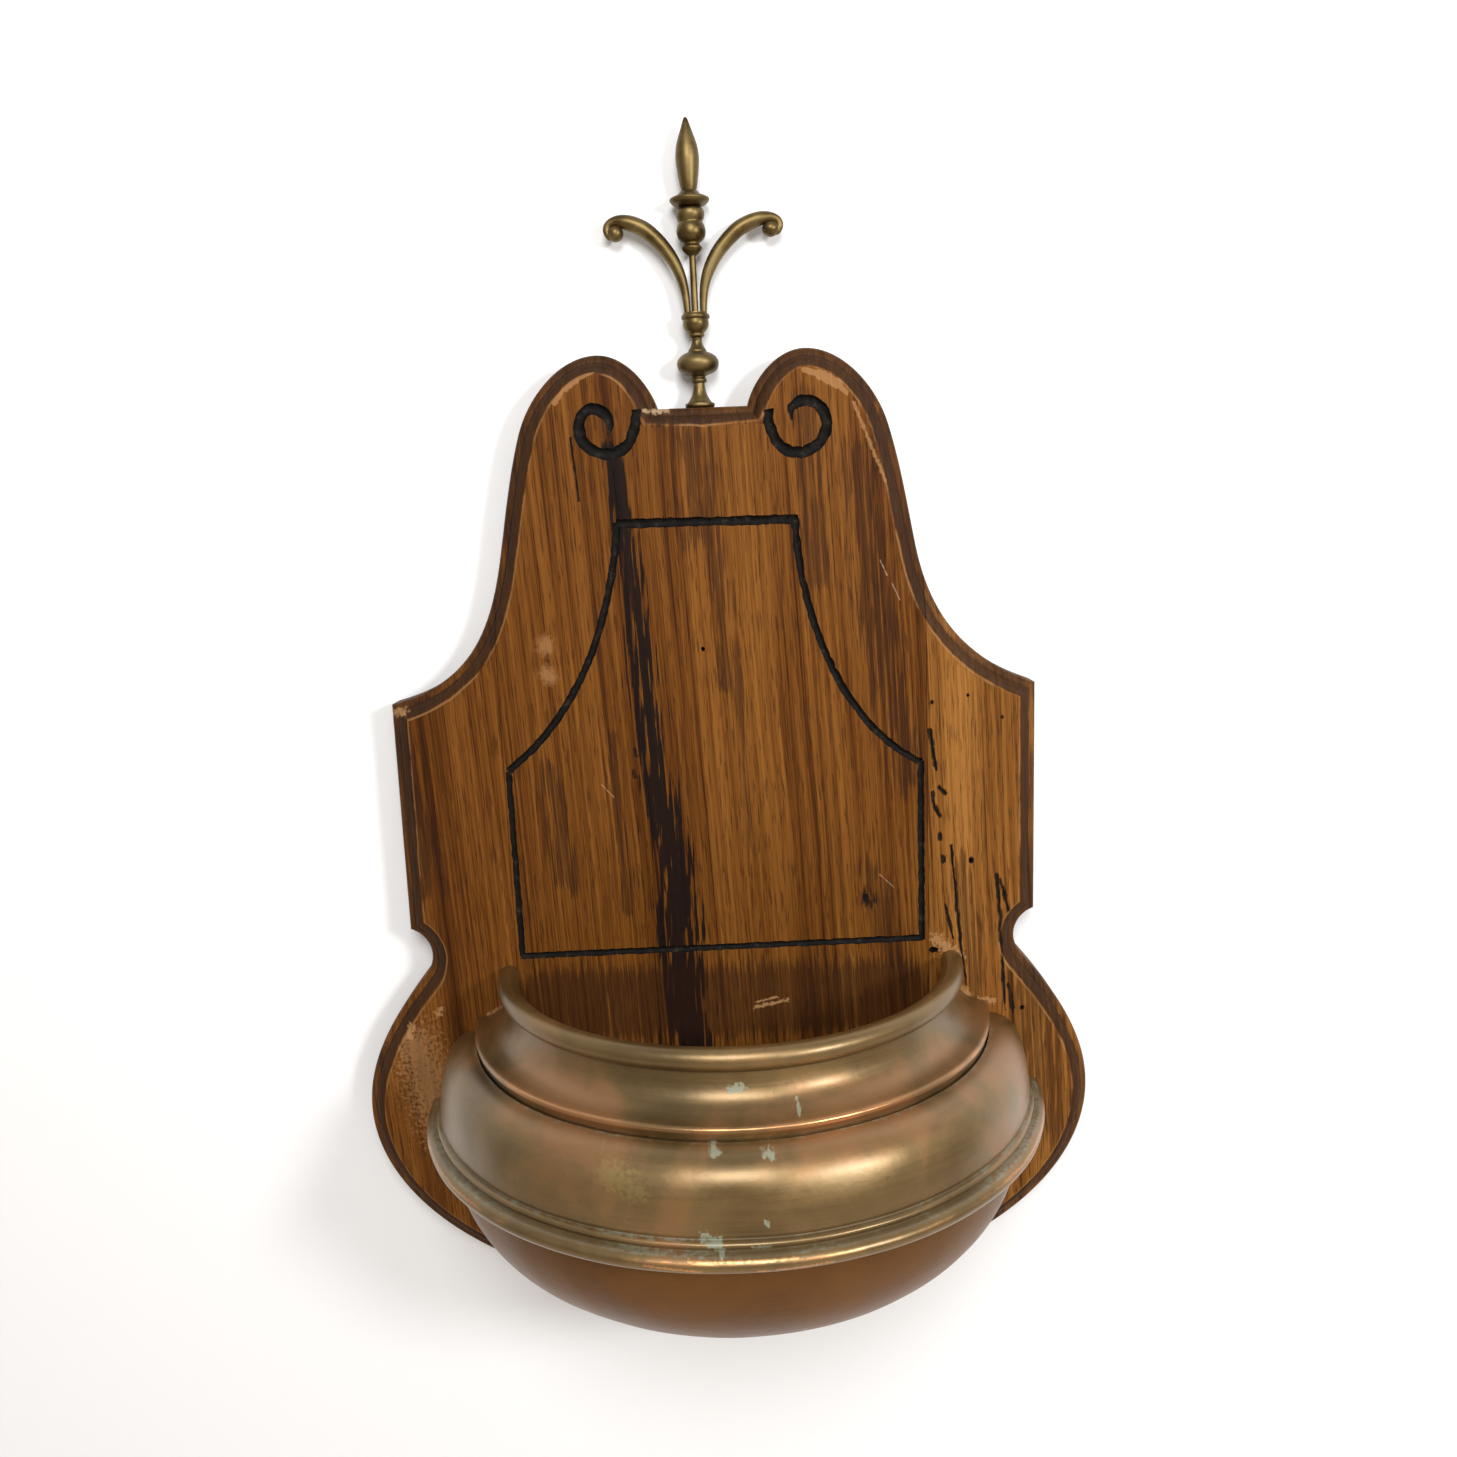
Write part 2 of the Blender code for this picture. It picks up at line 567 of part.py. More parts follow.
def make_board():
    span = (LOBE_HALF + VOLUTE_Z) * 2
    middle = box((-SEAM_X + CLEAR / 2, -span, -span), (SEAM_X - CLEAR / 2, span, span))
    beds = [batten_bed(UPPER_BATTEN_Z, UPPER_BATTEN_HALF), batten_bed(LOWER_BATTEN_Z, LOWER_BATTEN_HALF)]
    main = moulded_board("board_middle_plank", WALNUT)
    cut(main, [middle], "INTERSECT")
    cuts = [basin_housing(), trench(panel_path(), GROOVE_WIDTH, GROOVE_DEPTH, True)] + beds
    cuts += [trench(volute_path(side), GROOVE_WIDTH, GROOVE_DEPTH, False) for side in (-1, 1)]
    cuts += [dowel_bore(side, z) for side, _, z in dowel_places()]
    cuts.append(place(rod(INSERT_R + CLEAR, INSERT_LENGTH + 3 * MM), FINIAL_X, FINIAL_Y,
                      STRIP_Z - INSERT_LENGTH - 2 * MM))
    for name, spot, x, z in batten_screw_places():
        if abs(x) < SEAM_X:
            cuts.append(pilot((x, -BATTEN_THICK, z), BATTEN_SCREW - BATTEN_THICK, (0, -1, 0)))
    for side in (-1, 1):
        cuts += hanger_pockets(side)
    for name, spot, inward in tab_places():
        if abs(spot.x) < SEAM_X:
            cuts.append(tab_pilot(spot, inward))
    cuts += rim_seats(-SEAM_X, SEAM_X)
    cut(main, cuts)
    for label, side in (("left", -1), ("right", 1)):
        plank = moulded_board(f"board_{label}_plank", WALNUT_PALE if side > 0 else WALNUT)
        near, far = sorted((side * (SEAM_X + CLEAR / 2), side * span))
        cut(plank, [box((near, -span, -span), (far, span, span))], "INTERSECT")
        cuts = [basin_housing(), batten_bed(LOWER_BATTEN_Z, LOWER_BATTEN_HALF)] + rim_seats(near, far)
        cuts += [dowel_bore(which, z) for which, _, z in dowel_places() if which == side]
        for name, spot, x, z in batten_screw_places():
            if x * side > SEAM_X:
                cuts.append(pilot((x, -BATTEN_THICK, z), BATTEN_SCREW - BATTEN_THICK, (0, -1, 0)))
        cuts += [tab_pilot(spot, inward) for name, spot, inward in tab_places() if spot.x * side > SEAM_X]
        cut(plank, cuts)


def make_dowels():
    for side, number, z in dowel_places():
        label = "left" if side < 0 else "right"
        peg = along(rod(DOWEL_R, DOWEL_LENGTH), (1, 0, 0))
        place(peg, side * SEAM_X - DOWEL_LENGTH / 2, FACE_Y / 2, z)
        finish(f"dowel_{label}_{number}", peg, BEECH)


def wood_screw(name, spot, direction, length, finish_material):
    """A round-headed wood screw: its head's flat underside is at the spot, its point along the direction."""
    head = [(SCREW_HEAD_R * math.cos(a), -SCREW_HEAD_H * math.sin(a)) for a in np.radians((0, 45))]
    point = [(SCREW_R, length - 4 * SCREW_R), (0, length)]
    section = [(0, -SCREW_HEAD_H)] + head[::-1] + [(SCREW_R, 0)] + point
    bm = along(turned(section, SCREW_STEPS), direction)
    finish(name, place(bm, *spot), finish_material)


def countersunk_screw(name, spot, direction, length, finish_material):
    """A flat-headed wood screw: the top of its head is at the spot."""
    section = [(0, 0), (SCREW_HEAD_R, 0), (SCREW_R, SCREW_HEAD_H)]
    section += [(SCREW_R, length - 4 * SCREW_R), (0, length)]
    finish(name, place(along(turned(section, SCREW_STEPS), direction), *spot), finish_material)


def countersink(spot, direction, length):
    """The cutter for a flat-headed screw, a clearance larger all round."""
    wide, narrow = SCREW_HEAD_R + CLEAR, SCREW_R + CLEAR
    section = [(0, -MM), (wide, -MM), (wide, CLEAR), (narrow, SCREW_HEAD_H + CLEAR)]
    section += [(narrow, length), (0, length)]
    return place(along(turned(section, SCREW_STEPS), direction), *spot)


def make_battens():
    for name, z, half in BATTENS:
        low = (-half, -BATTEN_THICK, z - BATTEN_HEIGHT / 2)
        batten = finish(f"{name}_batten", box(low, (half, 0, z + BATTEN_HEIGHT / 2)), OAK, smooth=False)
        spots = [(x, level) for which, spot, x, level in batten_screw_places() if which == name]
        depth = BATTEN_THICK + 2 * MM
        cut(batten, [countersink((x, -CLEAR, level), (0, -1, 0), depth) for x, level in spots])
    for name, spot, x, z in batten_screw_places():
        head = (x, -CLEAR, z)
        countersunk_screw(f"{name}_batten_screw_{spot}", head, (0, -1, 0), BATTEN_SCREW, IRON)


# ---------------------------------------------------------------- hanger plates
def hanger_screw_heights():
    reach = HANGER_HEIGHT / 2 - SCREW_HEAD_R - 1.5 * MM
    return (("top", HANGER_Z + reach), ("foot", HANGER_Z - reach))


def keyhole_cutter(side, margin, y_near, y_far):
    """Round hole below, narrow slot above, for the head and shank of a wall screw."""
    hole, slot = KEYHOLE_R + margin, KEYSLOT_R + margin
    join = math.degrees(math.acos(slot / hole))
    outline = arc((side * HANGER_X, HANGER_Z - KEYSLOT_RISE / 2), hole, hole, -180 - join, join, 12)
    outline += arc((side * HANGER_X, HANGER_Z + KEYSLOT_RISE / 2), slot, slot, 0, 180, 6)
    return slab(outline, y_near, y_far)


def hanger_pockets(side):
    """Recess for a hanger plate, the deeper pocket behind its keyhole, and two screw bores."""
    x, half_w, half_h = side * HANGER_X, HANGER_WIDTH / 2 + CLEAR, HANGER_HEIGHT / 2 + CLEAR
    bed = box((x - half_w, -HANGER_THICK - CLEAR, HANGER_Z - half_h),
              (x + half_w, MM, HANGER_Z + half_h))
    room = KEYHOLE_R + MM
    rise = KEYSLOT_RISE / 2 + room
    pocket = box((x - room, -HANGER_THICK - KEY_POCKET, HANGER_Z - rise),
                 (x + room, -HANGER_THICK, HANGER_Z + rise))
    depth = HANGER_SCREW + CLEAR
    bores = [countersink((x, -CLEAR, z), (0, -1, 0), depth) for _, z in hanger_screw_heights()]
    return [bed, pocket] + bores


def make_hangers():
    for label, side in (("left", -1), ("right", 1)):
        x = side * HANGER_X
        outline = arc((x, HANGER_Z + HANGER_HEIGHT / 2 - 3 * MM), HANGER_WIDTH / 2, 3 * MM, 0, 180, 8)
        outline += arc((x, HANGER_Z - HANGER_HEIGHT / 2 + 3 * MM), HANGER_WIDTH / 2, 3 * MM, 180, 360, 8)
        plate = finish(f"hanger_plate_{label}", slab(outline, -HANGER_THICK, 0), IRON, smooth=False)
        cuts = [keyhole_cutter(side, 0, -HANGER_THICK - MM, MM)]
        depth = 2 * HANGER_THICK + MM
        cuts += [countersink((x, -CLEAR, z), (0, -1, 0), depth) for _, z in hanger_screw_heights()]
        cut(plate, cuts)
        for spot, z in hanger_screw_heights():
            head = (x, -CLEAR, z)
            countersunk_screw(f"hanger_screw_{label}_{spot}", head, (0, -1, 0), HANGER_SCREW, BRASS)


# ---------------------------------------------------------------- basin
def make_basin():
    half_shell("rim_bead", rim_ring(), COPPER)
    core = RIM_TUBE_R - RIM_TUBE_WALL - CLEAR
    half_shell("rim_wire", arc((RIM_R, 0), core, core, 0, 360, 10)[:-1], IRON)
    half_shell("neck_collar", sheet_ring(collar_profile()), COPPER)
    half_shell("shoulder_shell", sheet_ring(shoulder_profile()), COPPER)
    half_shell("lower_bowl", bowl_ring(), RED_COPPER)


def tab_pilot(spot, inward):
    hole = spot + inward * TAB_HOLE
    return pilot((hole.x, FACE_Y, hole.z), TAB_SCREW, (0, 1, 0))


def make_tabs():
    outline = [(0, 0), (TAB_FOOT, 0), (TAB_FOOT, TAB_THICK), (TAB_THICK, TAB_THICK)]
    outline += [(TAB_THICK, TAB_LEG), (0, TAB_LEG)]
    for name, spot, inward in tab_places():
        across = inward.cross(Vector((0, -1, 0)))
        bm = bmesh.new()
        face = bm.faces.new([bm.verts.new(spot + inward * u - Vector((0, v, 0)) - across * TAB_WIDTH / 2)
                             for u, v in outline])
        grown = bmesh.ops.extrude_face_region(bm, geom=[face], use_keep_orig=True)
        moved = [v for v in grown["geom"] if isinstance(v, bmesh.types.BMVert)]
        bmesh.ops.translate(bm, verts=moved, vec=across * TAB_WIDTH)
        tab = finish(f"fixing_tab_{name}", bm, COPPER, smooth=False)
        hole = spot + inward * TAB_HOLE
        bore = along(rod(SCREW_R + CLEAR, 4 * TAB_THICK, 10), (0, 1, 0))
        cut(tab, [place(bore, hole.x, hole.y - 3 * TAB_THICK, hole.z)])
        head = hole - Vector((0, TAB_THICK + CLEAR, 0))
        wood_screw(f"tab_screw_{name}", head, (0, 1, 0), TAB_SCREW, BRASS)


def pan_section(radius, foot, corner):
    """Half of the pan's section as a solid: floor, rounded corner and wall."""
    bend = arc((radius - corner, foot + corner), corner, corner, -90, 0, 4)
    return [(0, foot)] + bend


def make_pan():
    """The inner pan stands where its rounded bottom edge first meets the bowl."""
    shift = AXIS_Y - PAN_Y
    foot = max(bowl_inside_z(r + shift) - z for r, z in pan_section(PAN_R, 0, PAN_CORNER_R)) + PAN_REST_GAP
    outer = pan_section(PAN_R, foot, PAN_CORNER_R) + [(PAN_R, PAN_TOP_Z), (0, PAN_TOP_Z)]
    pan = finish("liner_pan", place(turned(outer, BASIN_STEPS, math.pi, math.pi), AXIS_X, PAN_Y), TINNED)
    room = pan_section(PAN_R - PAN_SHEET, foot + PAN_SHEET, PAN_CORNER_R - PAN_SHEET)
    room += [(PAN_R - PAN_SHEET, PAN_TOP_Z + MM), (0, PAN_TOP_Z + MM)]
    hollow = place(turned(room, BASIN_STEPS, math.pi, math.pi), AXIS_X, PAN_Y)
    back = box((AXIS_X - 2 * PAN_R, PAN_Y - PAN_SHEET, 2 * foot),
               (AXIS_X + 2 * PAN_R, 2 * PAN_R, PAN_R))
    hollow_piece = finish("cutter.pan.room", hollow, None, smooth=False)
    hollow_piece.hide_render = True
    hollow_piece.display_type = "WIRE"
    cut(hollow_piece, [back])
    step = pan.modifiers.new("hollow", "BOOLEAN")
    step.operation = "DIFFERENCE"
    step.solver = "EXACT"
    step.object = hollow_piece


# ---------------------------------------------------------------- finial
def leaning(bm):
    """Stand a finial piece, made with its height above the strip, on the board with the finial's lean."""
    lean = Matrix.Rotation(math.radians(FINIAL_LEAN), 3, "Y")
    bmesh.ops.rotate(bm, verts=bm.verts, cent=(0, 0, 0), matrix=lean)
    return place(bm, FINIAL_X, FINIAL_Y, STRIP_Z + CLEAR)


def bored(profile):
    """A turned section with the tie rod's clearance bore through it."""
    bore = ROD_R + CLEAR
    return [(bore, profile[0][1])] + profile + [(bore, profile[-1][1])]


def bead(radius, foot, top, waist, steps=4):
    """A turned bead between two heights, rising from a waist radius."""
    middle, half = (foot + top) / 2, (top - foot) / 2
    return arc((waist, middle), radius - waist, half, -90, 90, steps)


def make_finial():
    foot = [(7.1 * MM, 0), (8.8 * MM, 1.6 * MM), (8.4 * MM, 3 * MM)]
    foot += sweep((6.2 * MM, 4.4 * MM), 125, (3.5 * MM, 12 * MM), 92, 3)
    foot += [(3.4 * MM, 14 * MM)] + bead(4.8 * MM, 14.6 * MM, 17.2 * MM, 4 * MM, 3)
    foot += [(4.2 * MM, BULB_FOOT - CLEAR)]
    finish("finial_foot", leaning(turned(bored(foot))), BRASS)

    bulb = [(4.4 * MM, BULB_FOOT)]
    bulb += arc((5 * MM, 25.4 * MM), 7.8 * MM, 6.4 * MM, -78, 80, 8)
    bulb += [(5.3 * MM, 32.8 * MM)]
    bulb += sweep((4.4 * MM, 34 * MM), 120, (3.4 * MM, CUP_FOOT - CLEAR), 60, 3)
    bulb += [(3.4 * MM, CUP_FOOT - CLEAR)]
    finish("finial_bulb", leaning(turned(bored(bulb))), BRASS)

    cup = [(3.9 * MM, CUP_FOOT)] + bead(4.8 * MM, CUP_FOOT + 0.8 * MM, CUP_FOOT + 3.8 * MM, 4.2 * MM, 3)
    cup += sweep((5 * MM, CUP_FOOT + 4.4 * MM), 50, (7 * MM, CUP_TOP - 4.2 * MM), 88, 3)
    cup += bead(8 * MM, CUP_TOP - 4 * MM, CUP_TOP - 1.2 * MM, 7 * MM, 3) + [(6.8 * MM, CUP_TOP)]
    finish("finial_cup", leaning(turned(bored(cup))), BRASS)

    knop = [(2.7 * MM, KNOP_FOOT), (5.2 * MM, KNOP_FOOT + 3.2 * MM), (5.6 * MM, KNOP_FOOT + 4.8 * MM)]
    knop += [(4.1 * MM, KNOP_FOOT + 6.4 * MM), (4.2 * MM, KNOP_FOOT + 8 * MM)]
    knop += arc((3 * MM, KNOP_FOOT + 13.4 * MM), 4.9 * MM, 5.8 * MM, -55, 50, 5)
    knop += arc((3 * MM, KNOP_FOOT + 23.1 * MM), 4.7 * MM, 4 * MM, -55, 58, 5)
    knop += [(5.2 * MM, DISH_FOOT - CLEAR)]
    finish("finial_knop", leaning(turned(bored(knop))), BRASS)

    dish = [(5.6 * MM, DISH_FOOT), (9 * MM, DISH_FOOT + 1.4 * MM), (11 * MM, DISH_FOOT + 3.4 * MM)]
    dish += [(11 * MM, DISH_FOOT + 4.4 * MM), (8.6 * MM, DISH_FOOT + 6.8 * MM), (4.8 * MM, SPEAR_FOOT - CLEAR)]
    finish("finial_dish", leaning(turned(bored(dish))), BRASS)

    spear = sweep((4.3 * MM, SPEAR_FOOT), 76, (6.8 * MM, SPEAR_FOOT + 18 * MM), 90, 4)
    spear += sweep((6.8 * MM, SPEAR_FOOT + 18 * MM), 90, (1.4 * MM, SPEAR_TIP - 0.8 * MM), 112, 6)
    spear += [(1.4 * MM, SPEAR_TIP - 0.8 * MM), (0, SPEAR_TIP)]
    socket = SPEAR_FOOT + SOCKET_DEPTH
    section = [(0, socket), (ROD_R + CLEAR, socket), (ROD_R + CLEAR, SPEAR_FOOT)] + spear
    finish("finial_spear", leaning(turned(section)), BRASS)

    shaft = place(rod(ROD_R, SPEAR_FOOT + SOCKET_DEPTH - CLEAR + ROD_SINK), z=-ROD_SINK)
    finish("finial_rod", leaning(shaft), BRASS)
    bush = [(ROD_R + 2 * CLEAR, 0), (INSERT_R, 0), (INSERT_R, INSERT_LENGTH), (ROD_R + 2 * CLEAR, INSERT_LENGTH)]
    finish("finial_insert", place(turned(bush), FINIAL_X, FINIAL_Y, STRIP_Z - INSERT_LENGTH - MM), BRASS)


def scroll_arm(name, side):
    """A tapering round arm that rises from the cup, bends outwards and curls back into a ball."""
    ball_x, ball_z, ball_r = 44 * MM, 100.6 * MM, 4.9 * MM
    stations = [(ARM_SPREAD, CUP_TOP + CLEAR, 1.8), (ARM_SPREAD + 0.1 * MM, 61.5 * MM, 2), (6 * MM, 70 * MM, 2.5),
                (8.4 * MM, 78 * MM, 3), (12.6 * MM, 86.4 * MM, 3.5), (18.4 * MM, 94.2 * MM, 3.9),
                (25.4 * MM, 101 * MM, 4.2), (31.6 * MM, 104.8 * MM, 4.3), (38 * MM, 107.2 * MM, 4.0),
                (43.4 * MM, 108 * MM, 2.8), (47.4 * MM, 106.4 * MM, 2.1), (49 * MM, 102.6 * MM, 2.1),
                (ball_x, ball_z, 2.1)]
    curve = bpy.data.curves.new(name, "CURVE")
    curve.dimensions = "3D"
    curve.bevel_depth = MM
    curve.bevel_resolution = 2
    curve.use_fill_caps = True
    curve.resolution_u = 2
    line = curve.splines.new("POLY")
    line.points.add(len(stations) - 1)
    for point, (x, z, thick) in zip(line.points, stations):
        point.co = (side * x, 0, z, 1)
        point.radius = thick
    guide = bpy.data.objects.new(f"guide.{name}", curve)
    bpy.context.scene.collection.objects.link(guide)
    swept = bpy.data.meshes.new_from_object(guide.evaluated_get(bpy.context.evaluated_depsgraph_get()))
    bpy.data.objects.remove(guide, do_unlink=True)
    bm = bmesh.new()
    bm.from_mesh(swept)
    arm = finish(name, leaning(bm), BRASS)
    ball = bmesh.new()
    bmesh.ops.create_uvsphere(ball, u_segments=12, v_segments=8, radius=ball_r)
    cut(arm, [leaning(place(ball, side * ball_x, 0, ball_z))], "UNION")


make_board()
make_dowels()
make_battens()
make_hangers()
make_basin()
make_tabs()
make_pan()
make_finial()
scroll_arm("scroll_arm_left", -1)
scroll_arm("scroll_arm_right", 1)
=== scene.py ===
# %% [markdown]
# # A wall-hung baptismal font
# A half-round copper basin is let into a shaped walnut board, and a turned brass finial stands on the board's
# top edge. The CAD model is loaded first as a fixed frame. It gives every place and size, and each finely
# made piece below takes the place of a plain CAD solid, which is then hidden. Axes: +X right, +Z up, the wall
# is Y = 0 and the font faces -Y. Lengths are in metres, written as millimetres times MM.

# %% Load the frame
import math

import bmesh
import bpy
import numpy as np
from mathutils import Euler, Matrix, Vector, noise


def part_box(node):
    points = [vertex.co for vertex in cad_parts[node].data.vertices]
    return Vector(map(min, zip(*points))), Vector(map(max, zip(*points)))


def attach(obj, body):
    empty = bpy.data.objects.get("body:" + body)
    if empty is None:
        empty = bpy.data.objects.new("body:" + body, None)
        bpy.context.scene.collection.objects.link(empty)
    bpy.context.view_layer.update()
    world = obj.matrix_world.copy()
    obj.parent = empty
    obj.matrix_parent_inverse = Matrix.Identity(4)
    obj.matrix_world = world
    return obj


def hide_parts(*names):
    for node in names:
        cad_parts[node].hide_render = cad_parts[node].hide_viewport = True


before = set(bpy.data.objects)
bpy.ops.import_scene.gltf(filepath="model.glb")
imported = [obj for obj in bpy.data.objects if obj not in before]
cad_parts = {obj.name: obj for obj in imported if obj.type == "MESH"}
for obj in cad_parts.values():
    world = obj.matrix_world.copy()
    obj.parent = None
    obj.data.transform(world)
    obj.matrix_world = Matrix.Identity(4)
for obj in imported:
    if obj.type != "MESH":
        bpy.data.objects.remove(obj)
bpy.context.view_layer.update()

MM = 0.001

# %% [markdown]
# The camera stands a little above the rim, close in front of the board, so the basin swells towards it and
# the board's sides draw in upwards. A camera's own axes are the rows of the turn that brings the world in
# front of it, and that turn is easiest to give as three small angles.

# %% The camera
scene = bpy.context.scene
turn = Euler((math.radians(10.0258), math.radians(-2.05386), math.radians(-0.22749))).to_matrix()
lens = bpy.data.cameras.new("camera")
lens.sensor_width = 36
lens.lens = 30.885
lens.clip_start = 0.05
camera = bpy.data.objects.new("camera", lens)
scene.collection.objects.link(camera)
camera.matrix_world = Matrix.Translation((11.689 * MM, -773.963 * MM, 283.880 * MM)) @ Matrix(
    (turn[0], turn[2], -turn[1])).transposed().to_4x4()
scene.camera = camera
print("lens", lens.lens, "mm")


# %% [markdown]
# Materials are built from nodes. One helper adds a node, fills its inputs with plain values or with other
# nodes' outputs, and hands it back, so a whole material reads as a short list of steps.

# %% Node helpers
def add(tree, kind, inputs=None, **settings):
    node = tree.nodes.new(kind)
    for key, value in settings.items():
        setattr(node, key, value)
    for key, value in (inputs or {}).items():
        if isinstance(value, bpy.types.NodeSocket):
            tree.links.new(value, node.inputs[key])
        else:
            node.inputs[key].default_value = value
    return node


def maths(tree, operation, a, b=0.0, clamp=False):
    return add(tree, "ShaderNodeMath", {0: a, 1: b}, operation=operation, use_clamp=clamp).outputs[0]


def times(tree, a, b, clamp=False):
    return maths(tree, "MULTIPLY", a, b, clamp)


def plus(tree, a, b, clamp=False):
    return maths(tree, "ADD", a, b, clamp)


def minus(tree, a, b, clamp=False):
    return maths(tree, "SUBTRACT", a, b, clamp)


def ramp(tree, factor, stops):
    node = add(tree, "ShaderNodeValToRGB", {"Fac": factor})
    bar = node.color_ramp
    while len(bar.elements) < len(stops):
        bar.elements.new(0.5)
    for element, (place, colour) in zip(bar.elements, stops):
        element.position = place
        element.color = (*colour, 1)
    return node.outputs["Color"]


def tint(tree, factor, a, b):
    """Mix two colours; a colour is a socket or three numbers."""
    node = tree.nodes.new("ShaderNodeMix")
    node.data_type = "RGBA"
    for place, value in ((0, factor), (6, a), (7, b)):
        if isinstance(value, bpy.types.NodeSocket):
            tree.links.new(value, node.inputs[place])
        else:
            node.inputs[place].default_value = (*value, 1) if place else value
    return node.outputs[2]


def band(tree, value, low, high):
    """0 below low, 1 above high, eased between."""
    return add(tree, "ShaderNodeMapRange", {"Value": value, "From Min": low, "From Max": high},
               interpolation_type="SMOOTHSTEP").outputs[0]


def group(name, inputs, outputs):
    tree = bpy.data.node_groups.new(name, "ShaderNodeTree")
    for label, kind, value in inputs:
        socket = tree.interface.new_socket(label, in_out="INPUT", socket_type=kind)
        socket.default_value = value
    for label, kind in outputs:
        tree.interface.new_socket(label, in_out="OUTPUT", socket_type=kind)
    return tree, tree.nodes.new("NodeGroupInput"), tree.nodes.new("NodeGroupOutput")


def place_group(tree, made, inputs):
    node = add(tree, "ShaderNodeGroup", node_tree=made)
    for key, value in inputs.items():
        if isinstance(value, bpy.types.NodeSocket):
            tree.links.new(value, node.inputs[key])
        else:
            node.inputs[key].default_value = value
    return node.outputs


def new_material(name):
    made = bpy.data.materials.new(name)
    made.use_nodes = True
    tree = made.node_tree
    tree.nodes.clear()
    shader = tree.nodes.new("ShaderNodeBsdfPrincipled")
    out = tree.nodes.new("ShaderNodeOutputMaterial")
    tree.links.new(shader.outputs[0], out.inputs["Surface"])
    spot = add(tree, "ShaderNodeTexCoord").outputs["Object"]
    return made, tree, shader, spot


# %% [markdown]
# Straight-grained walnut shows four things at once: broad bands of heartwood that are orange, brown or almost
# black, narrower growth lines inside them, short dark pores, and fine fibres. All four are the same noise,
# stretched a long way up the board. The boards were sawn a few degrees off the grain, so the pattern leans.

# %% Shared effect: wood grain
FLOAT, VECTOR, COLOUR = "NodeSocketFloat", "NodeSocketVector", "NodeSocketColor"
grain_group, g_in, g_out = group(
    "wood grain",
    [("Place", VECTOR, (0, 0, 0)), ("Lean", FLOAT, 0.050), ("Shift", FLOAT, 0.0)],
    [("Bands", FLOAT), ("Lines", FLOAT), ("Pores", FLOAT), ("Fibre", FLOAT)])
t = grain_group
parts = add(t, "ShaderNodeSeparateXYZ", {0: g_in.outputs["Place"]}).outputs
wander = add(t, "ShaderNodeTexNoise", {"Scale": 1.0, "Detail": 2.0, "Vector": add(
    t, "ShaderNodeCombineXYZ", {0: times(t, parts[0], 9), 1: 0.0,
                                2: times(t, parts[2], 4)}).outputs[0]}).outputs[0]
across = plus(t, parts[0], times(t, parts[2], g_in.outputs["Lean"]))
across = plus(t, across, times(t, minus(t, wander, 0.5), 0.006))
across = plus(t, across, g_in.outputs["Shift"])


def stretched(tree, x, y, z, fine, deep, long, detail, rough=0.5):
    where = add(tree, "ShaderNodeCombineXYZ", {0: times(tree, x, fine),
                                               1: times(tree, y, deep),
                                               2: times(tree, z, long)}).outputs[0]
    return add(tree, "ShaderNodeTexNoise", {"Vector": where, "Scale": 1.0, "Detail": detail,
                                            "Roughness": rough}).outputs[0]


bands = stretched(t, across, parts[1], parts[2], 34, 20, 1.3, 2.0)
lines = stretched(t, across, parts[1], parts[2], 290, 70, 2.2, 4.0, 0.66)
pores = stretched(t, across, parts[1], parts[2], 1150, 900, 58, 2.0)
fibre = stretched(t, across, parts[1], parts[2], 900, 500, 11, 3.0, 0.6)
for label, socket in (("Bands", bands), ("Lines", lines), ("Pores", pores), ("Fibre", fibre)):
    t.links.new(socket, g_out.inputs[label])
print("grain group:", len(t.nodes), "nodes")

# %% [markdown]
# A mark in the wood, such as a worm track, a split or a scuff, has a place and a direction. The next group
# measures how far a point is from a short line on the board's face and answers 1 near it and 0 away from it.
# A little noise makes its edge ragged.

# %% Shared effect: a mark along a line
mark_group, g_in, g_out = group(
    "mark along a line",
    [("Place", VECTOR, (0, 0, 0)), ("From", VECTOR, (0, 0, 0)), ("To", VECTOR, (0, 0, 1)),
     ("Half width", FLOAT, 0.001), ("Soft", FLOAT, 0.001), ("Ragged", FLOAT, 0.5), ("Along", FLOAT, 1.0)],
     [("Mask", FLOAT)])
t = mark_group
flat = add(t, "ShaderNodeVectorMath", {0: g_in.outputs["Place"], 1: (1, 0, 1)},
           operation="MULTIPLY").outputs[0]
reach = add(t, "ShaderNodeVectorMath", {0: g_in.outputs["To"], 1: g_in.outputs["From"]},
            operation="SUBTRACT").outputs[0]
away = add(t, "ShaderNodeVectorMath", {0: flat, 1: g_in.outputs["From"]}, operation="SUBTRACT").outputs[0]
dot = add(t, "ShaderNodeVectorMath", {0: away, 1: reach}, operation="DOT_PRODUCT").outputs["Value"]
square = add(t, "ShaderNodeVectorMath", {0: reach, 1: reach}, operation="DOT_PRODUCT").outputs["Value"]
share = maths(t, "DIVIDE", dot, plus(t, square, 1e-9), clamp=True)
nearest = add(t, "ShaderNodeVectorMath", {0: reach, "Scale": share}, operation="SCALE").outputs[0]
gap = add(t, "ShaderNodeVectorMath", {0: away, 1: nearest}, operation="DISTANCE").outputs["Value"]
stretch = add(t, "ShaderNodeCombineXYZ", {0: 1.0, 2: g_in.outputs["Along"]}).outputs[0]
streaks = add(t, "ShaderNodeVectorMath", {0: flat, 1: stretch}, operation="MULTIPLY").outputs[0]
rough = add(t, "ShaderNodeTexNoise", {"Vector": streaks, "Scale": 420.0, "Detail": 3.0}).outputs[0]
gap = plus(t, gap, times(t, minus(t, rough, 0.5),
                         times(t, g_in.outputs["Ragged"], times(t,
                                                                plus(t, g_in.outputs["Half width"],
                                                                     g_in.outputs["Soft"]), 4.0))))
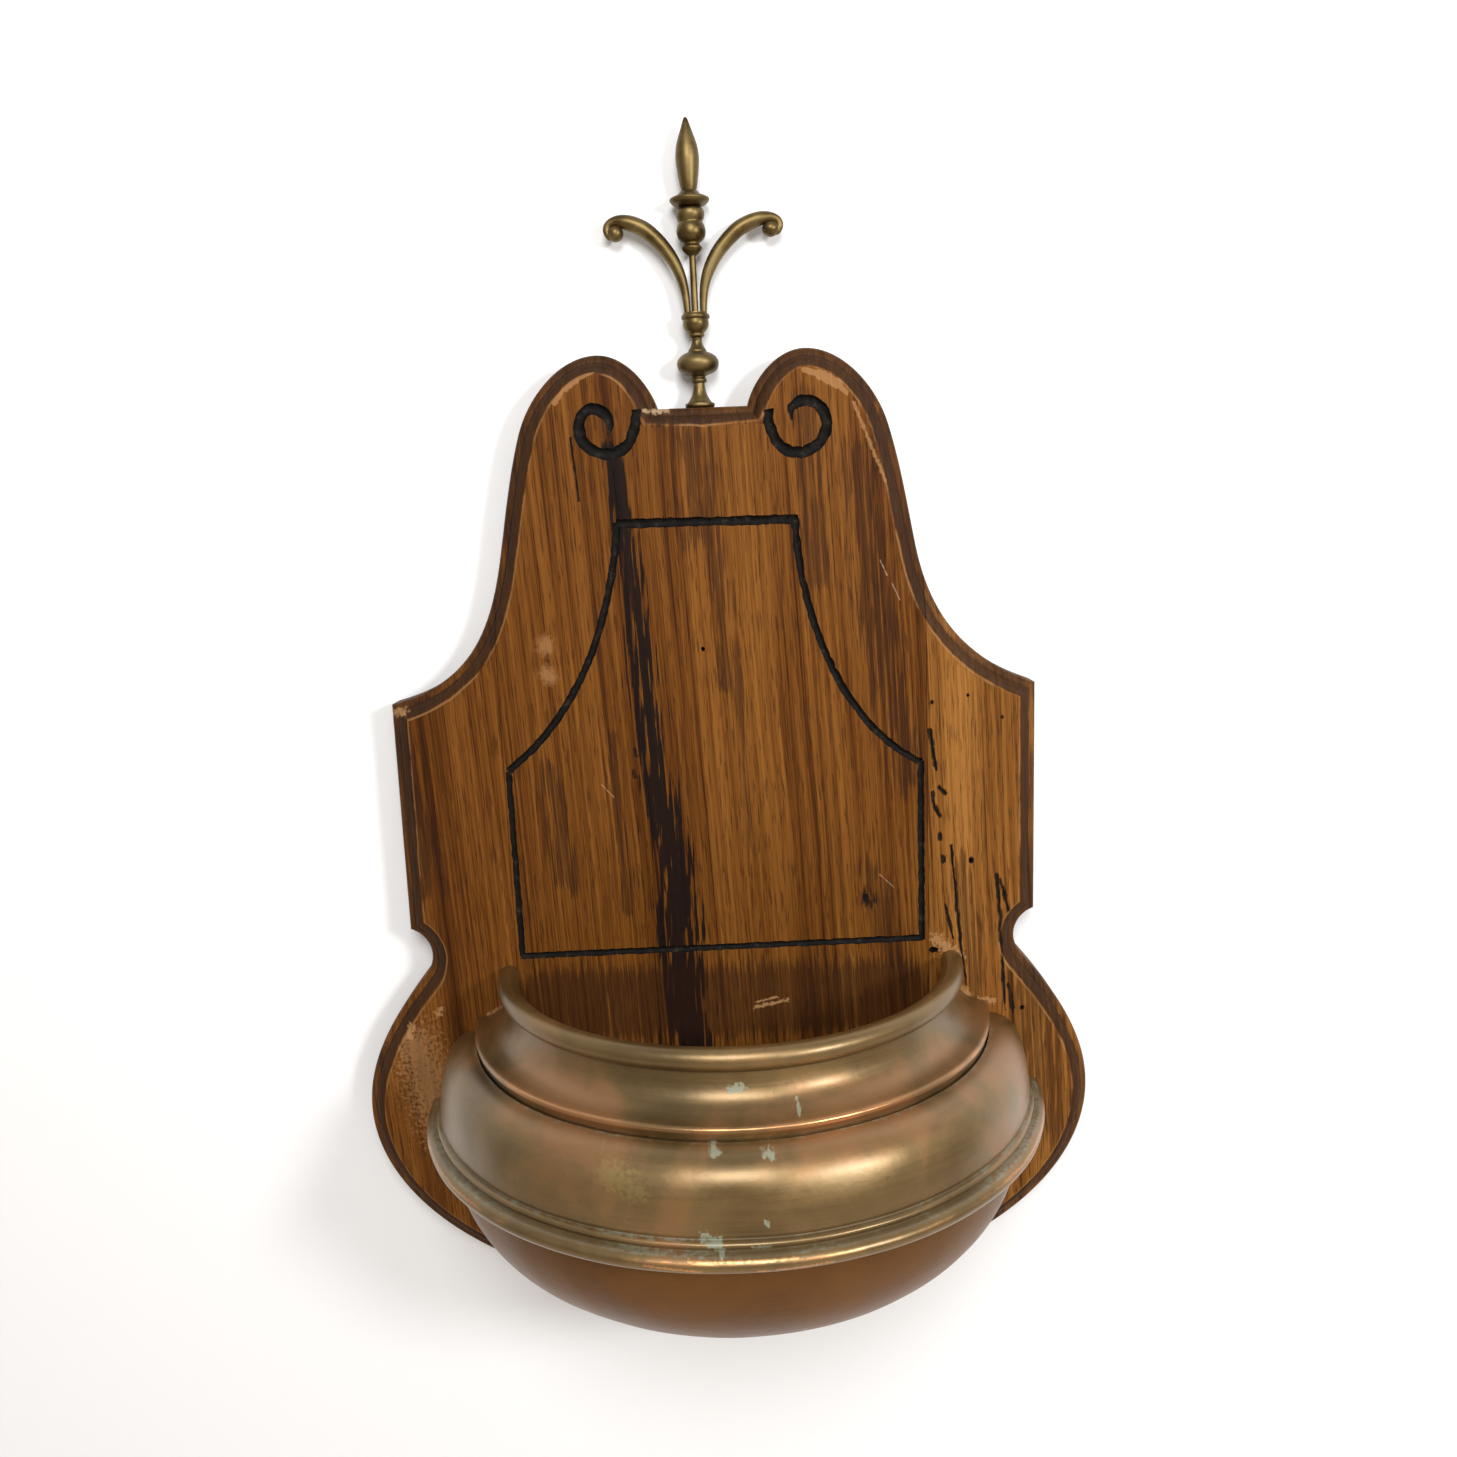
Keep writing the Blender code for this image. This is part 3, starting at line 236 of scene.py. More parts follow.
fade = minus(t, 1.0, maths(t, "DIVIDE", minus(t, gap, g_in.outputs["Half width"]),
                                       g_in.outputs["Soft"]), clamp=True)
t.links.new(fade, g_out.inputs["Mask"])


def marks(tree, place, lines_mm, along=1.0):
    """The strongest of several marks. Each is x, z, x, z, half width, softness and raggedness."""
    total = None
    for x1, z1, x2, z2, half, soft, ragged in lines_mm:
        mask = place_group(tree, mark_group, {
            "Place": place, "From": (x1 * MM, 0, z1 * MM), "To": (x2 * MM, 0, z2 * MM),
            "Half width": half * MM, "Soft": soft * MM, "Ragged": ragged, "Along": along})[0]
        total = mask if total is None else maths(tree, "MAXIMUM", total, mask)
    return total


# %% [markdown]
# The walnut itself. The grain sets the colour, a wax polish sets the gloss, and years of handling set the
# rest: the sharp edge of the moulding is rubbed pale, and each plank has its own splits, worm tracks and
# bruises. The moulding is painted darker in blotches and its hollow almost black, and the face inside the
# basin gets painted shade over a darker wood tone. How far a point is from the board's outline comes in as
# an attribute, `rim`, because the moulding follows the outline and not an axis.

# %% The walnut
BLACK_STREAK = [(-53, 318, -47, 256, 2.6, 5, 0.9), (-47, 256, -42, 200, 2.6, 6, 0.9),
                (-42, 200, -37, 122, 3.2, 7, 0.9), (-37, 122, -29, 77, 4.6, 8, 0.9),
                (-29, 77, -26, 6, 7.0, 8, 0.9), (-26, 6, -21, -60, 8.0, 8, 0.8)]
DARK_GRAIN = [(2, 330, 8, 180, 1.2, 6, 0.9), (12, 240, 20, 60, 0.6, 4, 0.9),
              (88, 310, 104, 190, 5, 12, 0.9),
              (104, 190, 118, 120, 5, 10, 0.9), (-8, 345, -5, 270, 5, 10, 0.9),
              (60, 345, 66, 240, 3, 8, 0.9),
              (-100, 130, -96, 60, 3, 9, 0.9), (96, 60, 108, 0, 4, 10, 0.9),
              (-62, 150, -58, 40, 1.5, 5, 0.9)]
# Painted shade: the face inside the basin, below the panel, is darkened as the basin's shade, over a darker
# reddish wood tone there.
SHADE_AND_DARK_WOOD_IN_BASIN = [(-110, -22, 110, -22, 18, 12, 0.3)]
KNOT = [(90, 43, 91, 40, 2.0, 3.5, 0.8)]
SCUFFS = [(-99.3, 208, -99.4, 205, 1.4, 5, 0.35), (-99.2, 190, -98, 187, 1.4, 5, 0.35)]
CHIPS = [(-33, 340.7, -20, 341.4, 0.5, 1.2, 1.0), (19, -27, 40, -22.6, 0.5, 0.9, 1.0),
         (20, -23.5, 33, -20.8, 0.3, 0.7, 1.0),
         (133, 14, 148, 1.5, 1.8, 3.0, 1.0), (-148, -27, -139, -22.5, 1.4, 1.6, 1.0),
         (-181, -24, -179, -21.5, 1.0, 1.5, 1.0),
         (-200, -39, -199, -32, 1.0, 1.6, 1.0), (147, -17, 156, -27.5, 1.3, 1.8, 1.0),
         (156, -27.4, 169, -28, 1.2, 1.4, 1.0)]
CROWNS = [(-85, 347, -79, 355.5, 1.0, 0.7, 0.3), (-79, 355.5, -72, 360, 2.0, 0.7, 0.3),
          (-72, 360, -63, 363.8, 1.1, 0.7, 0.3),
          (60, 360.5, 69, 357.6, 1.4, 0.5, 0.25), (69, 357.6, 79, 352, 2.6, 0.5, 0.25),
          (79, 352, 84, 347, 1.2, 0.6, 0.3),
          (88, 341, 106, 296, 0.5, 0.8, 0.6)]
CORNER = [(-194, 168, -188, 169, 1.2, 1.8, 1.0)]
SCRATCHES = [(102, 250, 106, 241, 0.15, 0.35, 0.6), (109, 236, 113.5, 226, 0.15, 0.35, 0.6),
             (99, 57, 108, 48, 0.12, 0.3, 0.6), (-70, 120, -63, 112, 0.1, 0.3, 0.6)]
WORM_TRACKS = [(130.8, 146.7, 131.8, 138, 0.9, 0.8, 1.0), (131.8, 138, 134.4, 122, 0.6, 0.8, 1.0),
               (135.4, 111, 140.2, 106.8, 0.8, 0.7, 1.0), (131.7, 107.5, 133, 99, 0.7, 0.7, 1.0),
               (133, 99, 136, 93, 0.8, 0.7, 1.0), (136.4, 81, 136.8, 78.5, 1.1, 0.8, 0.9),
               (138.8, 67, 139, 63.5, 0.9, 0.8, 0.9), (155.4, 64.4, 155.4, 63.6, 1.4, 0.6, 0.3),
               (153.8, 167.5, 153.8, 167, 0.7, 0.5, 0.3), (125.5, 164.2, 125.5, 164, 0.7, 0.5, 0.3),
               (132.1, 164, 132.1, 163.7, 0.7, 0.5, 0.3), (174.4, 153.2, 174.4, 153, 0.8, 0.5, 0.3),
               (187.4, -33, 187.4, -33.6, 1.0, 0.6, 0.3), (-49, 141, -48, 137, 0.8, 1, 1),
               (-50, 128, -49, 124, 0.7, 1, 1)]
SPLITS = [(143.1, 74, 145.6, 44, 0.35, 0.7, 1.0), (145.6, 44, 148.4, 14, 0.5, 0.8, 1.0),
          (148.4, 14, 152.1, -17, 0.4, 0.7, 1.0),
          (139.2, 36, 144.1, 14, 0.4, 0.8, 1.0), (171.5, 54, 174.6, 8, 0.5, 1.0, 1.0),
          (174.6, 8, 176.7, -34.6, 0.4, 0.8, 1.0),
          (173.4, 51, 178.4, 31, 0.6, 1.0, 1.0), (178.5, -18, 181.7, -36, 0.5, 0.7, 1.0),
          (-77.4, 327, -75.5, 309, 0.4, 0.7, 1.0), (-75.5, 309, -74.4, 291, 0.3, 0.5, 1.0),
          (-53.4, 308, -51.9, 279, 0.2, 0.5, 1.0)]


def walnut(name, shift, tones, dark, pale_marks, black_marks):
    made, tree, shader, spot = new_material(name)
    grain = place_group(tree, grain_group, {"Place": spot, "Shift": shift})
    tone = plus(tree, times(tree, grain["Bands"], 0.38), times(tree, grain["Lines"], 0.62))
    tone = plus(tree, tone, times(tree, minus(tree, grain["Fibre"], 0.5), 0.34))
    colour = ramp(tree, tone, tones)
    fleck = band(tree, grain["Pores"], 0.54, 0.66)
    colour = tint(tree, times(tree, fleck, 0.55), colour, (0.022, 0.007, 0.0025))
    streak = minus(tree, 1.0, band(tree, grain["Lines"], 0.34, 0.42))
    colour = tint(tree, times(tree, streak, 0.45), colour, (0.020, 0.006, 0.002))
    if dark:
        for lines, depth, low, high, shade_colour in dark:
            soft = marks(tree, spot, lines, 0.06)
            streaky = plus(tree, soft, times(tree, minus(tree, grain["Lines"], 0.5), -2.2))
            streaky = plus(tree, streaky, times(tree, minus(tree, grain["Fibre"], 0.5), -1.0))
            shade = times(tree, band(tree, streaky, low, high),
                          maths(tree, "MINIMUM", times(tree, soft, 2.5), 1.0))
            colour = tint(tree, times(tree, shade, depth), colour, shade_colour)
    edge = add(tree, "ShaderNodeAttribute", attribute_name="rim").outputs["Fac"]
    patchy = add(tree, "ShaderNodeTexNoise", {"Vector": spot, "Scale": 55.0, "Detail": 6.0}).outputs[0]
    ragged = plus(tree, edge, times(tree, minus(tree, patchy, 0.5), 0.0022))
    # The moulding is painted darker in blotches, and its hollow almost black.
    hollow = times(tree, band(tree, ragged, 0.0034, 0.0048),
                   minus(tree, 1.0, band(tree, ragged, 0.0096, 0.0110)))
    mould = minus(tree, 1.0, band(tree, ragged, 0.0096, 0.0110))
    moulding_blotches = add(tree, "ShaderNodeTexNoise", {"Vector": spot, "Scale": 16.0, "Detail": 3.0}).outputs[0]
    mould = times(tree, mould, plus(tree, 0.16, times(tree, band(tree, moulding_blotches, 0.38, 0.60), 0.58)))
    colour = tint(tree, maths(tree, "MAXIMUM", mould, times(tree, hollow, 0.86)), colour,
                  (0.026, 0.013, 0.007))
    worn = minus(tree, 1.0, band(tree, maths(tree, "ABSOLUTE", minus(tree, ragged, 0.0112)),
                                             0.0002, 0.0010))
    worn = times(tree, worn, band(tree, patchy, 0.36, 0.58))
    outer = minus(tree, 1.0, band(tree, ragged, 0.0001, 0.0012))
    worn = maths(tree, "MAXIMUM", worn, times(tree, times(tree, outer, 0.4), band(tree, patchy, 0.42, 0.6)))
    colour = tint(tree, times(tree, worn, 0.60), colour, (0.30, 0.160, 0.065))
    inside = band(tree, edge, 0.0098, 0.0106)
    for lines, depth, shade, anywhere in pale_marks:
        pale = times(tree, marks(tree, spot, lines), depth if anywhere else times(tree, inside, depth))
        colour = tint(tree, pale, colour, shade)
    hole = marks(tree, spot, black_marks, 0.25)
    front = add(tree, "ShaderNodeSeparateXYZ", {0: spot}).outputs[1]
    facing = maths(tree, "LESS_THAN", front, -15 * MM)
    hole = times(tree, hole, facing)
    colour = tint(tree, times(tree, hole, 0.94), colour, (0.010, 0.007, 0.005))
    tree.links.new(colour, shader.inputs["Base Color"])
    gloss = plus(tree, 0.50, times(tree, minus(tree, patchy, 0.5), 0.25))
    gloss = plus(tree, gloss, times(tree, fleck, 0.12))
    tree.links.new(plus(tree, gloss, times(tree, hole, 0.4), clamp=True), shader.inputs["Roughness"])
    height = minus(tree, times(tree, grain["Lines"], 0.25), times(tree, fleck, 0.35))
    height = minus(tree, height, times(tree, hole, 3.0))
    bump = add(tree, "ShaderNodeBump", {"Strength": 0.55, "Distance": 0.0004, "Height": height}).outputs[0]
    tree.links.new(bump, shader.inputs["Normal"])
    shader.inputs["Specular IOR Level"].default_value = 0.06
    return made


BROWN_TONES = [(0.36, (0.034, 0.0100, 0.0014)), (0.45, (0.084, 0.0270, 0.0036)),
               (0.54, (0.132, 0.0470, 0.0072)),
               (0.66, (0.196, 0.0770, 0.0140))]
PALE_TONES = [(0.35, (0.066, 0.0220, 0.0034)), (0.44, (0.125, 0.0460, 0.0080)),
              (0.53, (0.185, 0.0730, 0.0140)),
              (0.65, (0.265, 0.1150, 0.0260))]
BLACKENED, DARKENED = (0.006, 0.004, 0.004), (0.018, 0.007, 0.004)
PALE, RUBBED, BARE = (0.40, 0.28, 0.17), (0.33, 0.17, 0.07), (0.36, 0.20, 0.09)
WALNUT_MIDDLE = walnut("walnut, middle plank", 0.0, BROWN_TONES,
                       [(BLACK_STREAK, 0.94, 0.25, 0.70, BLACKENED),
                        (DARK_GRAIN, 0.58, 0.35, 1.1, DARKENED),
                        # painted shade inside the basin, over darker wood
                        (SHADE_AND_DARK_WOOD_IN_BASIN, 0.62, 0.1, 0.9, DARKENED)],
                       [(SCUFFS, 0.5, RUBBED, False), (CROWNS, 0.6, RUBBED, False),
                        (CHIPS[:1], 0.75, PALE, True),
                        (CHIPS[1:3], 0.7, BARE, False), (SCRATCHES, 0.5, PALE, False)],
                       KNOT + SPLITS[-3:] + WORM_TRACKS[-2:])
WALNUT_LEFT = walnut("walnut, left plank", 0.31, BROWN_TONES,
                     [([(-190, 150, -180, 60, 4, 10, 0.9)], 0.6, 0.4, 1.0, DARKENED)],
                     [([(-197, -45, -184, -98, 5, 14, 0.9)], 0.40, BARE, False),
                      (CHIPS[4:7] + CORNER, 0.6, BARE, True)],
                     SPLITS[-1:])
WALNUT_RIGHT = walnut("walnut, right plank", 0.77, PALE_TONES,
                      [([(150, 60, 160, -60, 3, 9, 0.9), (190, -20, 205, -110, 8, 14, 0.9)], 0.5, 0.3, 1.0,
                        DARKENED)],
                      [(CHIPS[3:4] + CHIPS[7:], 0.6, BARE, True)], WORM_TRACKS[:-2] + SPLITS[:-3])
print("walnut materials:", len(WALNUT_MIDDLE.node_tree.nodes), "nodes in the middle plank's")

# %% [markdown]
# Carved grooves were blackened with stain so that they read from across a room. The stain has worn to grey
# where a duster reaches it.

# %% The stained grooves
GROOVE_STAIN, tree, shader, spot = new_material("stained groove")
worn = add(tree, "ShaderNodeTexNoise",
           {"Vector": spot, "Scale": 160.0, "Detail": 6.0, "Roughness": 0.7}).outputs[0]
tree.links.new(ramp(tree, worn, [(0.35, (0.003, 0.003, 0.003)), (0.55, (0.007, 0.006, 0.005)),
                                 (0.75, (0.040, 0.032, 0.025))]),
               shader.inputs["Base Color"])
shader.inputs["Roughness"].default_value = 0.72
shader.inputs["Specular IOR Level"].default_value = 0.10
tree.links.new(add(tree, "ShaderNodeBump",
                   {"Strength": 0.7, "Distance": 0.0006, "Height": worn}).outputs[0],
               shader.inputs["Normal"])

# %% [markdown]
# Metal that has hung in a damp church is never one colour. Copper goes from gold-brown to red in large soft
# clouds, it is rubbed bright where hands and cloths reach it, and it keeps dust and green salts where they
# don't. One group gives those masks, and each metal takes its own colours from them.

# %% Shared effect: old metal
metal_group, g_in, g_out = group(
    "old metal", [("Place", VECTOR, (0, 0, 0)), ("Clouds", FLOAT, 14.0)],
    [("Cloud", FLOAT), ("Speck", FLOAT), ("Wipe", FLOAT), ("Height", FLOAT)])
t = metal_group
cloud = add(t, "ShaderNodeTexNoise",
            {"Vector": g_in.outputs["Place"], "Scale": g_in.outputs["Clouds"], "Detail": 5.0,
                                      "Roughness": 0.55, "Distortion": 0.4}).outputs[0]
speck = add(t, "ShaderNodeTexNoise",
            {"Vector": g_in.outputs["Place"], "Scale": 260.0, "Detail": 4.0, "Roughness": 0.65}).outputs[0]
parts = add(t, "ShaderNodeSeparateXYZ", {0: g_in.outputs["Place"]}).outputs
wipe = stretched(t, parts[2], parts[1], parts[0], 700, 14, 14, 3.0, 0.6)
soft = add(t, "ShaderNodeTexNoise",
           {"Vector": g_in.outputs["Place"], "Scale": 38.0, "Detail": 3.0}).outputs[0]
height = plus(t, times(t, soft, 0.7), times(t, speck, 0.12))
for label, socket in (("Cloud", cloud), ("Speck", speck), ("Wipe", wipe), ("Height", height)):
    t.links.new(socket, g_out.inputs[label])


def metal(name, colours, roughness, clouds=14.0, bump=0.0012, strength=0.25, extra=None):
    made, tree, shader, spot = new_material(name)
    old = place_group(tree, metal_group, {"Place": spot, "Clouds": clouds})
    mix = plus(tree, times(tree, old["Cloud"], 0.85), times(tree, old["Wipe"], 0.15))
    colour = ramp(tree, mix, colours)
    colour = tint(tree, times(tree, band(tree, old["Speck"], 0.60, 0.74), 0.5), colour,
                  (0.07, 0.040, 0.022))
    rough = plus(tree, roughness, times(tree, minus(tree, old["Cloud"], 0.5), 0.35))
    rough = plus(tree, rough, times(tree, minus(tree, old["Wipe"], 0.5), 0.18))
    metallic = 1.0
    if extra:
        colour, rough, metallic = extra(tree, spot, old, colour, rough)
    tree.links.new(colour, shader.inputs["Base Color"])
    tree.links.new(plus(tree, rough, 0.0, clamp=True), shader.inputs["Roughness"])
    if isinstance(metallic, bpy.types.NodeSocket):
        tree.links.new(metallic, shader.inputs["Metallic"])
    else:
        shader.inputs["Metallic"].default_value = metallic
    tree.links.new(add(tree, "ShaderNodeBump",
                       {"Strength": strength, "Distance": bump, "Height": old["Height"]}).outputs[0],
                   shader.inputs["Normal"])
    return made


# %% [markdown]
# The basin is soldered together from rings. Green salts lie in the crease under the ridge and in the two
# grooves above the belt, and the same creases get painted shade, which also dulls the metal there; the ridge
# and the belt's edge are rubbed bright. Those are heights, so the masks read the height of a point, with
# noise to break them up.

# %% Copper
CREASES = [(-34.6, 0.5), (-74.8, 0.6), (-80.1, 0.6)]
SALT_SPOTS = [(4, -15.5, 9, -15.0, 1.6, 1.0, 0.9), (19, -37.4, 24, -37.6, 0.8, 0.9, 1.0),
              (-8, -36.5, -4, -36.6, 0.6, 0.9, 1.0),
              (19, -66, 20, -68, 0.6, 0.8, 1.0), (-12, -73, -5, -75.5, 1.4, 1.2, 1.0),
              (-9, -76, -3, -79, 0.9, 1.2, 1.0),
              (13, -78.4, 20, -78.6, 0.6, 1.0, 1.0), (38, -22, 38.5, -26, 0.5, 0.7, 1.0),
              (38, -148, 39, -149, 0.6, 0.7, 1.0)]
YELLOW_SPOTS = [(-60, -47, -52, -49, 2.5, 5, 1.0), (-48, -52, -44, -53, 1.5, 4, 1.0)]
SCRAPES = [(-42, -84.6, -14, -86.4, 0.25, 0.5, 1.0), (-20, -81.6, 34, -82.0, 0.2, 0.5, 1.0),
           (14, -87.0, 52, -86.2, 0.3, 0.5, 1.0)]


def level_line(tree, height, level, half, soft):
    """1 on a level line round the basin, easing to 0 either side."""
    far = maths(tree, "ABSOLUTE", minus(tree, height, level * MM))
    return minus(tree, 1.0, band(tree, far, half * MM, (half + soft) * MM))


def copper_age(tree, spot, old, colour, rough):
    z = add(tree, "ShaderNodeSeparateXYZ", {0: spot}).outputs[2]
    ragged = plus(tree, z, times(tree, minus(tree, old["Speck"], 0.5), 0.0022))
    red = band(tree, plus(tree, old["Cloud"], times(tree, level_line(tree, z, -30, 5, 16), 0.13)), 0.52,
               0.70)
    colour = tint(tree, times(tree, red, 0.55), colour, (0.300, 0.130, 0.048))
    salt = None
    for level, half in CREASES:
        near = level_line(tree, ragged, level, half * 0.4, half * 1.2)
        salt = near if salt is None else maths(tree, "MAXIMUM", salt, near)
    broken = band(tree, old["Cloud"], 0.42, 0.58)
    # Painted shade: the creases are darkened to stand for the shade in them, and the metal there is made
    # duller.
    crease_shade = times(tree, salt, 0.5)
    colour = tint(tree, crease_shade, colour, (0.075, 0.055, 0.032))
    salt = times(tree, times(tree, salt, broken), band(tree, old["Speck"], 0.42, 0.56))
    yellow = times(tree, marks(tree, spot, YELLOW_SPOTS), 0.35)
    colour = tint(tree, yellow, colour, (0.300, 0.240, 0.075))
    bloom = times(tree, marks(tree, spot, SALT_SPOTS), 0.8)
    salt = maths(tree, "MAXIMUM", times(tree, salt, 0.55), bloom)
    colour = tint(tree, times(tree, salt, 0.72), colour, (0.230, 0.290, 0.220))
    bright = times(tree, level_line(tree, z, -28.9, 0.5, 1.8), plus(tree, 0.35, broken))
    bright = maths(tree, "MAXIMUM", bright, times(tree, level_line(tree, ragged, -83.0, 0.2, 0.8), broken))
    bright = maths(tree, "MAXIMUM", bright, marks(tree, spot, SCRAPES), clamp=True)
    colour = tint(tree, times(tree, bright, 0.65), colour, (0.60, 0.29, 0.115))
    rough = plus(tree, rough, times(tree, maths(tree, "MAXIMUM", salt, crease_shade), 0.30))
    rough = minus(tree, rough, times(tree, bright, 0.10))
    dull = maths(tree, "MAXIMUM", times(tree, salt, 0.9), crease_shade)
    return colour, rough, times(tree, minus(tree, 1.0, dull), plus(tree, 0.72, times(tree, bright, 0.28)))


def bowl_age(tree, spot, old, colour, rough):
    z = add(tree, "ShaderNodeSeparateXYZ", {0: spot}).outputs[2]
    # The bowl is painted darker in a band just below the belt, and made a little rougher there.
    below_belt_dark = times(tree, level_line(tree, z, -92, 1.2, 3.5), 0.7)
    colour = tint(tree, below_belt_dark, colour, (0.050, 0.030, 0.016))
    bloom = marks(tree, spot, SALT_SPOTS[-1:])
    colour = tint(tree, times(tree, bloom, 0.7), colour, (0.230, 0.290, 0.220))
    return colour, plus(tree, rough, times(tree, below_belt_dark, 0.2)), minus(tree, 0.74, times(tree, bloom, 0.7))


GOLD_BROWN = [(0.30, (0.088, 0.052, 0.014)), (0.45, (0.145, 0.088, 0.026)), (0.58, (0.192, 0.118, 0.038)),
              (0.72, (0.225, 0.120, 0.042))]
RED_BROWN = [(0.30, (0.068, 0.027, 0.005)), (0.45, (0.112, 0.046, 0.008)), (0.60, (0.142, 0.060, 0.011)),
             (0.74, (0.134, 0.066, 0.016))]
COPPER = metal("aged copper", GOLD_BROWN, 0.40, bump=0.0025, strength=0.32, extra=copper_age)
RED_COPPER = metal("red copper", RED_BROWN, 0.42, bump=0.0025, strength=0.32, extra=bowl_age)
for polished, coat in ((COPPER, 0.60), (RED_COPPER, 0.08)):
    shader = next(n for n in polished.node_tree.nodes if n.type == "BSDF_PRINCIPLED")
    shader.inputs["Coat Weight"].default_value = coat
    shader.inputs["Coat Roughness"].default_value = 0.33
TINNED = metal("tinned copper", [(0.3, (0.30, 0.28, 0.25)), (0.5, (0.46, 0.44, 0.40)),
                                 (0.7, (0.52, 0.49, 0.44))], 0.42,
               extra=lambda tree, spot, old, colour, rough: (colour, rough, 0.55))
BRASS = metal("dull brass", [(0.32, (0.068, 0.045, 0.016)), (0.48, (0.132, 0.092, 0.036)),
                             (0.64, (0.195, 0.142, 0.062))], 0.45,
              clouds=60.0, bump=0.0003)
SCREW_BRASS = metal("screw brass", [(0.3, (0.25, 0.17, 0.06)), (0.7, (0.42, 0.31, 0.13))], 0.34,
                    clouds=90.0, bump=0.0002)
IRON = metal("blackened iron", [(0.3, (0.035, 0.028, 0.024)), (0.6, (0.085, 0.070, 0.060)),
                                (0.75, (0.16, 0.075, 0.035))], 0.52,
             clouds=70.0, bump=0.0004, strength=0.5)
print("metals ready")


# %% [markdown]
# Every piece is made in a bmesh, the editable mesh that Blender's own operators work on.

# %% Piece helpers
def finish_piece(name, bm, materials, body, nodes, sharp=35):
    bmesh.ops.remove_doubles(bm, verts=bm.verts, dist=1e-7)
    bmesh.ops.recalc_face_normals(bm, faces=bm.faces)
    mesh = bpy.data.meshes.new(name)
    bm.to_mesh(mesh)
    bm.free()
    return dress(name, mesh, materials, body, nodes, sharp)


def edge_off_flats(mesh):
    """Make every edge between a broad flat face and a small curved one sharp, so that the flat stays flat."""
    flat = [abs(f.normal.y) > 0.9999 or abs(f.normal.z) > 0.9999 for f in mesh.polygons]
    beside = {}
    for face in mesh.polygons:
        for key in face.edge_keys:
            beside.setdefault(key, []).append(flat[face.index])
    sharp = mesh.attributes.get("sharp_edge") or mesh.attributes.new("sharp_edge", "BOOLEAN", "EDGE")
    for edge in mesh.edges:
        if len(set(beside.get(edge.key, ()))) == 2:
            sharp.data[edge.index].value = True


def dress(name, mesh, materials, body, nodes, sharp=35):
    for finish in materials:
        mesh.materials.append(finish)
    mesh.shade_smooth()
    mesh.set_sharp_from_angle(angle=math.radians(sharp))
    edge_off_flats(mesh)
    piece = bpy.data.objects.new(name, mesh)
    scene.collection.objects.link(piece)
    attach(piece, body)
    if nodes:
        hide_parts(*nodes)
    print(f"{name}: {len(mesh.polygons)} faces")
    return piece


def sweep(start, leave, end, arrive, steps, pull=(0.34, 0.34)):
    """Points of a smooth curve that leaves and arrives at given angles, without the last one."""
    a, d = Vector(start), Vector(end)
    chord = (d - a).length
    b = a + Vector((math.cos(math.radians(leave)), math.sin(math.radians(leave)))) * chord * pull[0]
    c = d - Vector((math.cos(math.radians(arrive)), math.sin(math.radians(arrive)))) * chord * pull[1]
    curve = []
    for i in range(steps):
        s = i / steps
        curve.append(tuple(a * (1 - s) ** 3 + b * 3 * s * (1 - s) ** 2 + c * 3 * s * s * (1 - s)
                           + d * s ** 3))
    return curve


def arc(centre, radius_x, radius_z, start, end, steps):
    angles = np.radians(np.linspace(start, end, steps + 1))
    return [(centre[0] + radius_x * math.cos(a), centre[1] + radius_z * math.sin(a)) for a in angles]


def spun(section, steps, turn=math.tau, start=0.0):
    """Spin a closed section, given as radius and height, about the upright axis."""
    bm = bmesh.new()
    corners = [bm.verts.new((r * math.cos(start), r * math.sin(start), z)) for r, z in section]
    edges = [bm.edges.new(pair) for pair in zip(corners, corners[1:] + corners[:1])]
    full = abs(turn - math.tau) < 1e-9
    made = bmesh.ops.spin(bm, geom=edges, cent=(0, 0, 0), axis=(0, 0, 1), angle=turn, steps=steps,
                          use_merge=full)
    if not full:
        last = [e for e in made["geom_last"] if isinstance(e, bmesh.types.BMEdge)]
        bmesh.ops.contextual_create(bm, geom=edges)
        bmesh.ops.contextual_create(bm, geom=last)
    bmesh.ops.remove_doubles(bm, verts=bm.verts, dist=1e-7)
    return bm


# %% [markdown]
# ## The board
# The board is one outline with a moulding worked round its edge. In Blender that is an extruded face whose
# front is inset again and again, each time a little further in and a little further forward, so the steps of
# the insets draw the moulding: a rounded outer member, a hollow, a small step and then the flat face.

# %% The outline
BOARD_THICK, FACE_Y = 28 * MM, -28 * MM
MOULD_WIDTH = 11.2 * MM
BELT_Z, BOWL_FOOT = -90.3 * MM, -190.2 * MM
LOBE_HALF = 231.1 * MM


def mm(*values):
    return tuple(v * MM for v in values)


def board_half(corner_angle, pull):
    notch_x, notch_r = 202 * MM, 18 * MM
    rise = math.acos((notch_x - 196.5 * MM) / notch_r)
    notch_z = 29.1 * MM - notch_r * math.sin(rise)
    half = [mm(0, 342.3)]
    half += sweep(mm(26.5, 342.3), 77, mm(60.7, 374), 0, 18, (0.30, 0.36))
    half += sweep(mm(60.7, 374), 0, mm(109, 330), -73, 24)
    half += sweep(mm(109, 330), -73, mm(124.6, 258), -79, 12)
    half += sweep(mm(124.6, 258), -79, mm(196.5, 172.6), corner_angle, 27, pull)
    half += [mm(196.5, 172.6)]
    bite = arc((notch_x, notch_z), notch_r, notch_r, 180 - math.degrees(rise), 220, 18)
    half += bite[:-1]
    half += sweep(bite[-1], -50, (LOBE_HALF, BELT_Z), -90, 21, (0.36, 0.33))
    return half + arc((0, BELT_Z), LOBE_HALF, BELT_Z - BOWL_FOOT + 41.6 * MM, 0, -90, 45)


OUTLINE = board_half(-20, (0.37, 0.42))
OUTLINE += [(-x, z) for x, z in reversed(board_half(-13, (0.41, 0.44))[1:-1])]
print("outline:", len(OUTLINE), "points")

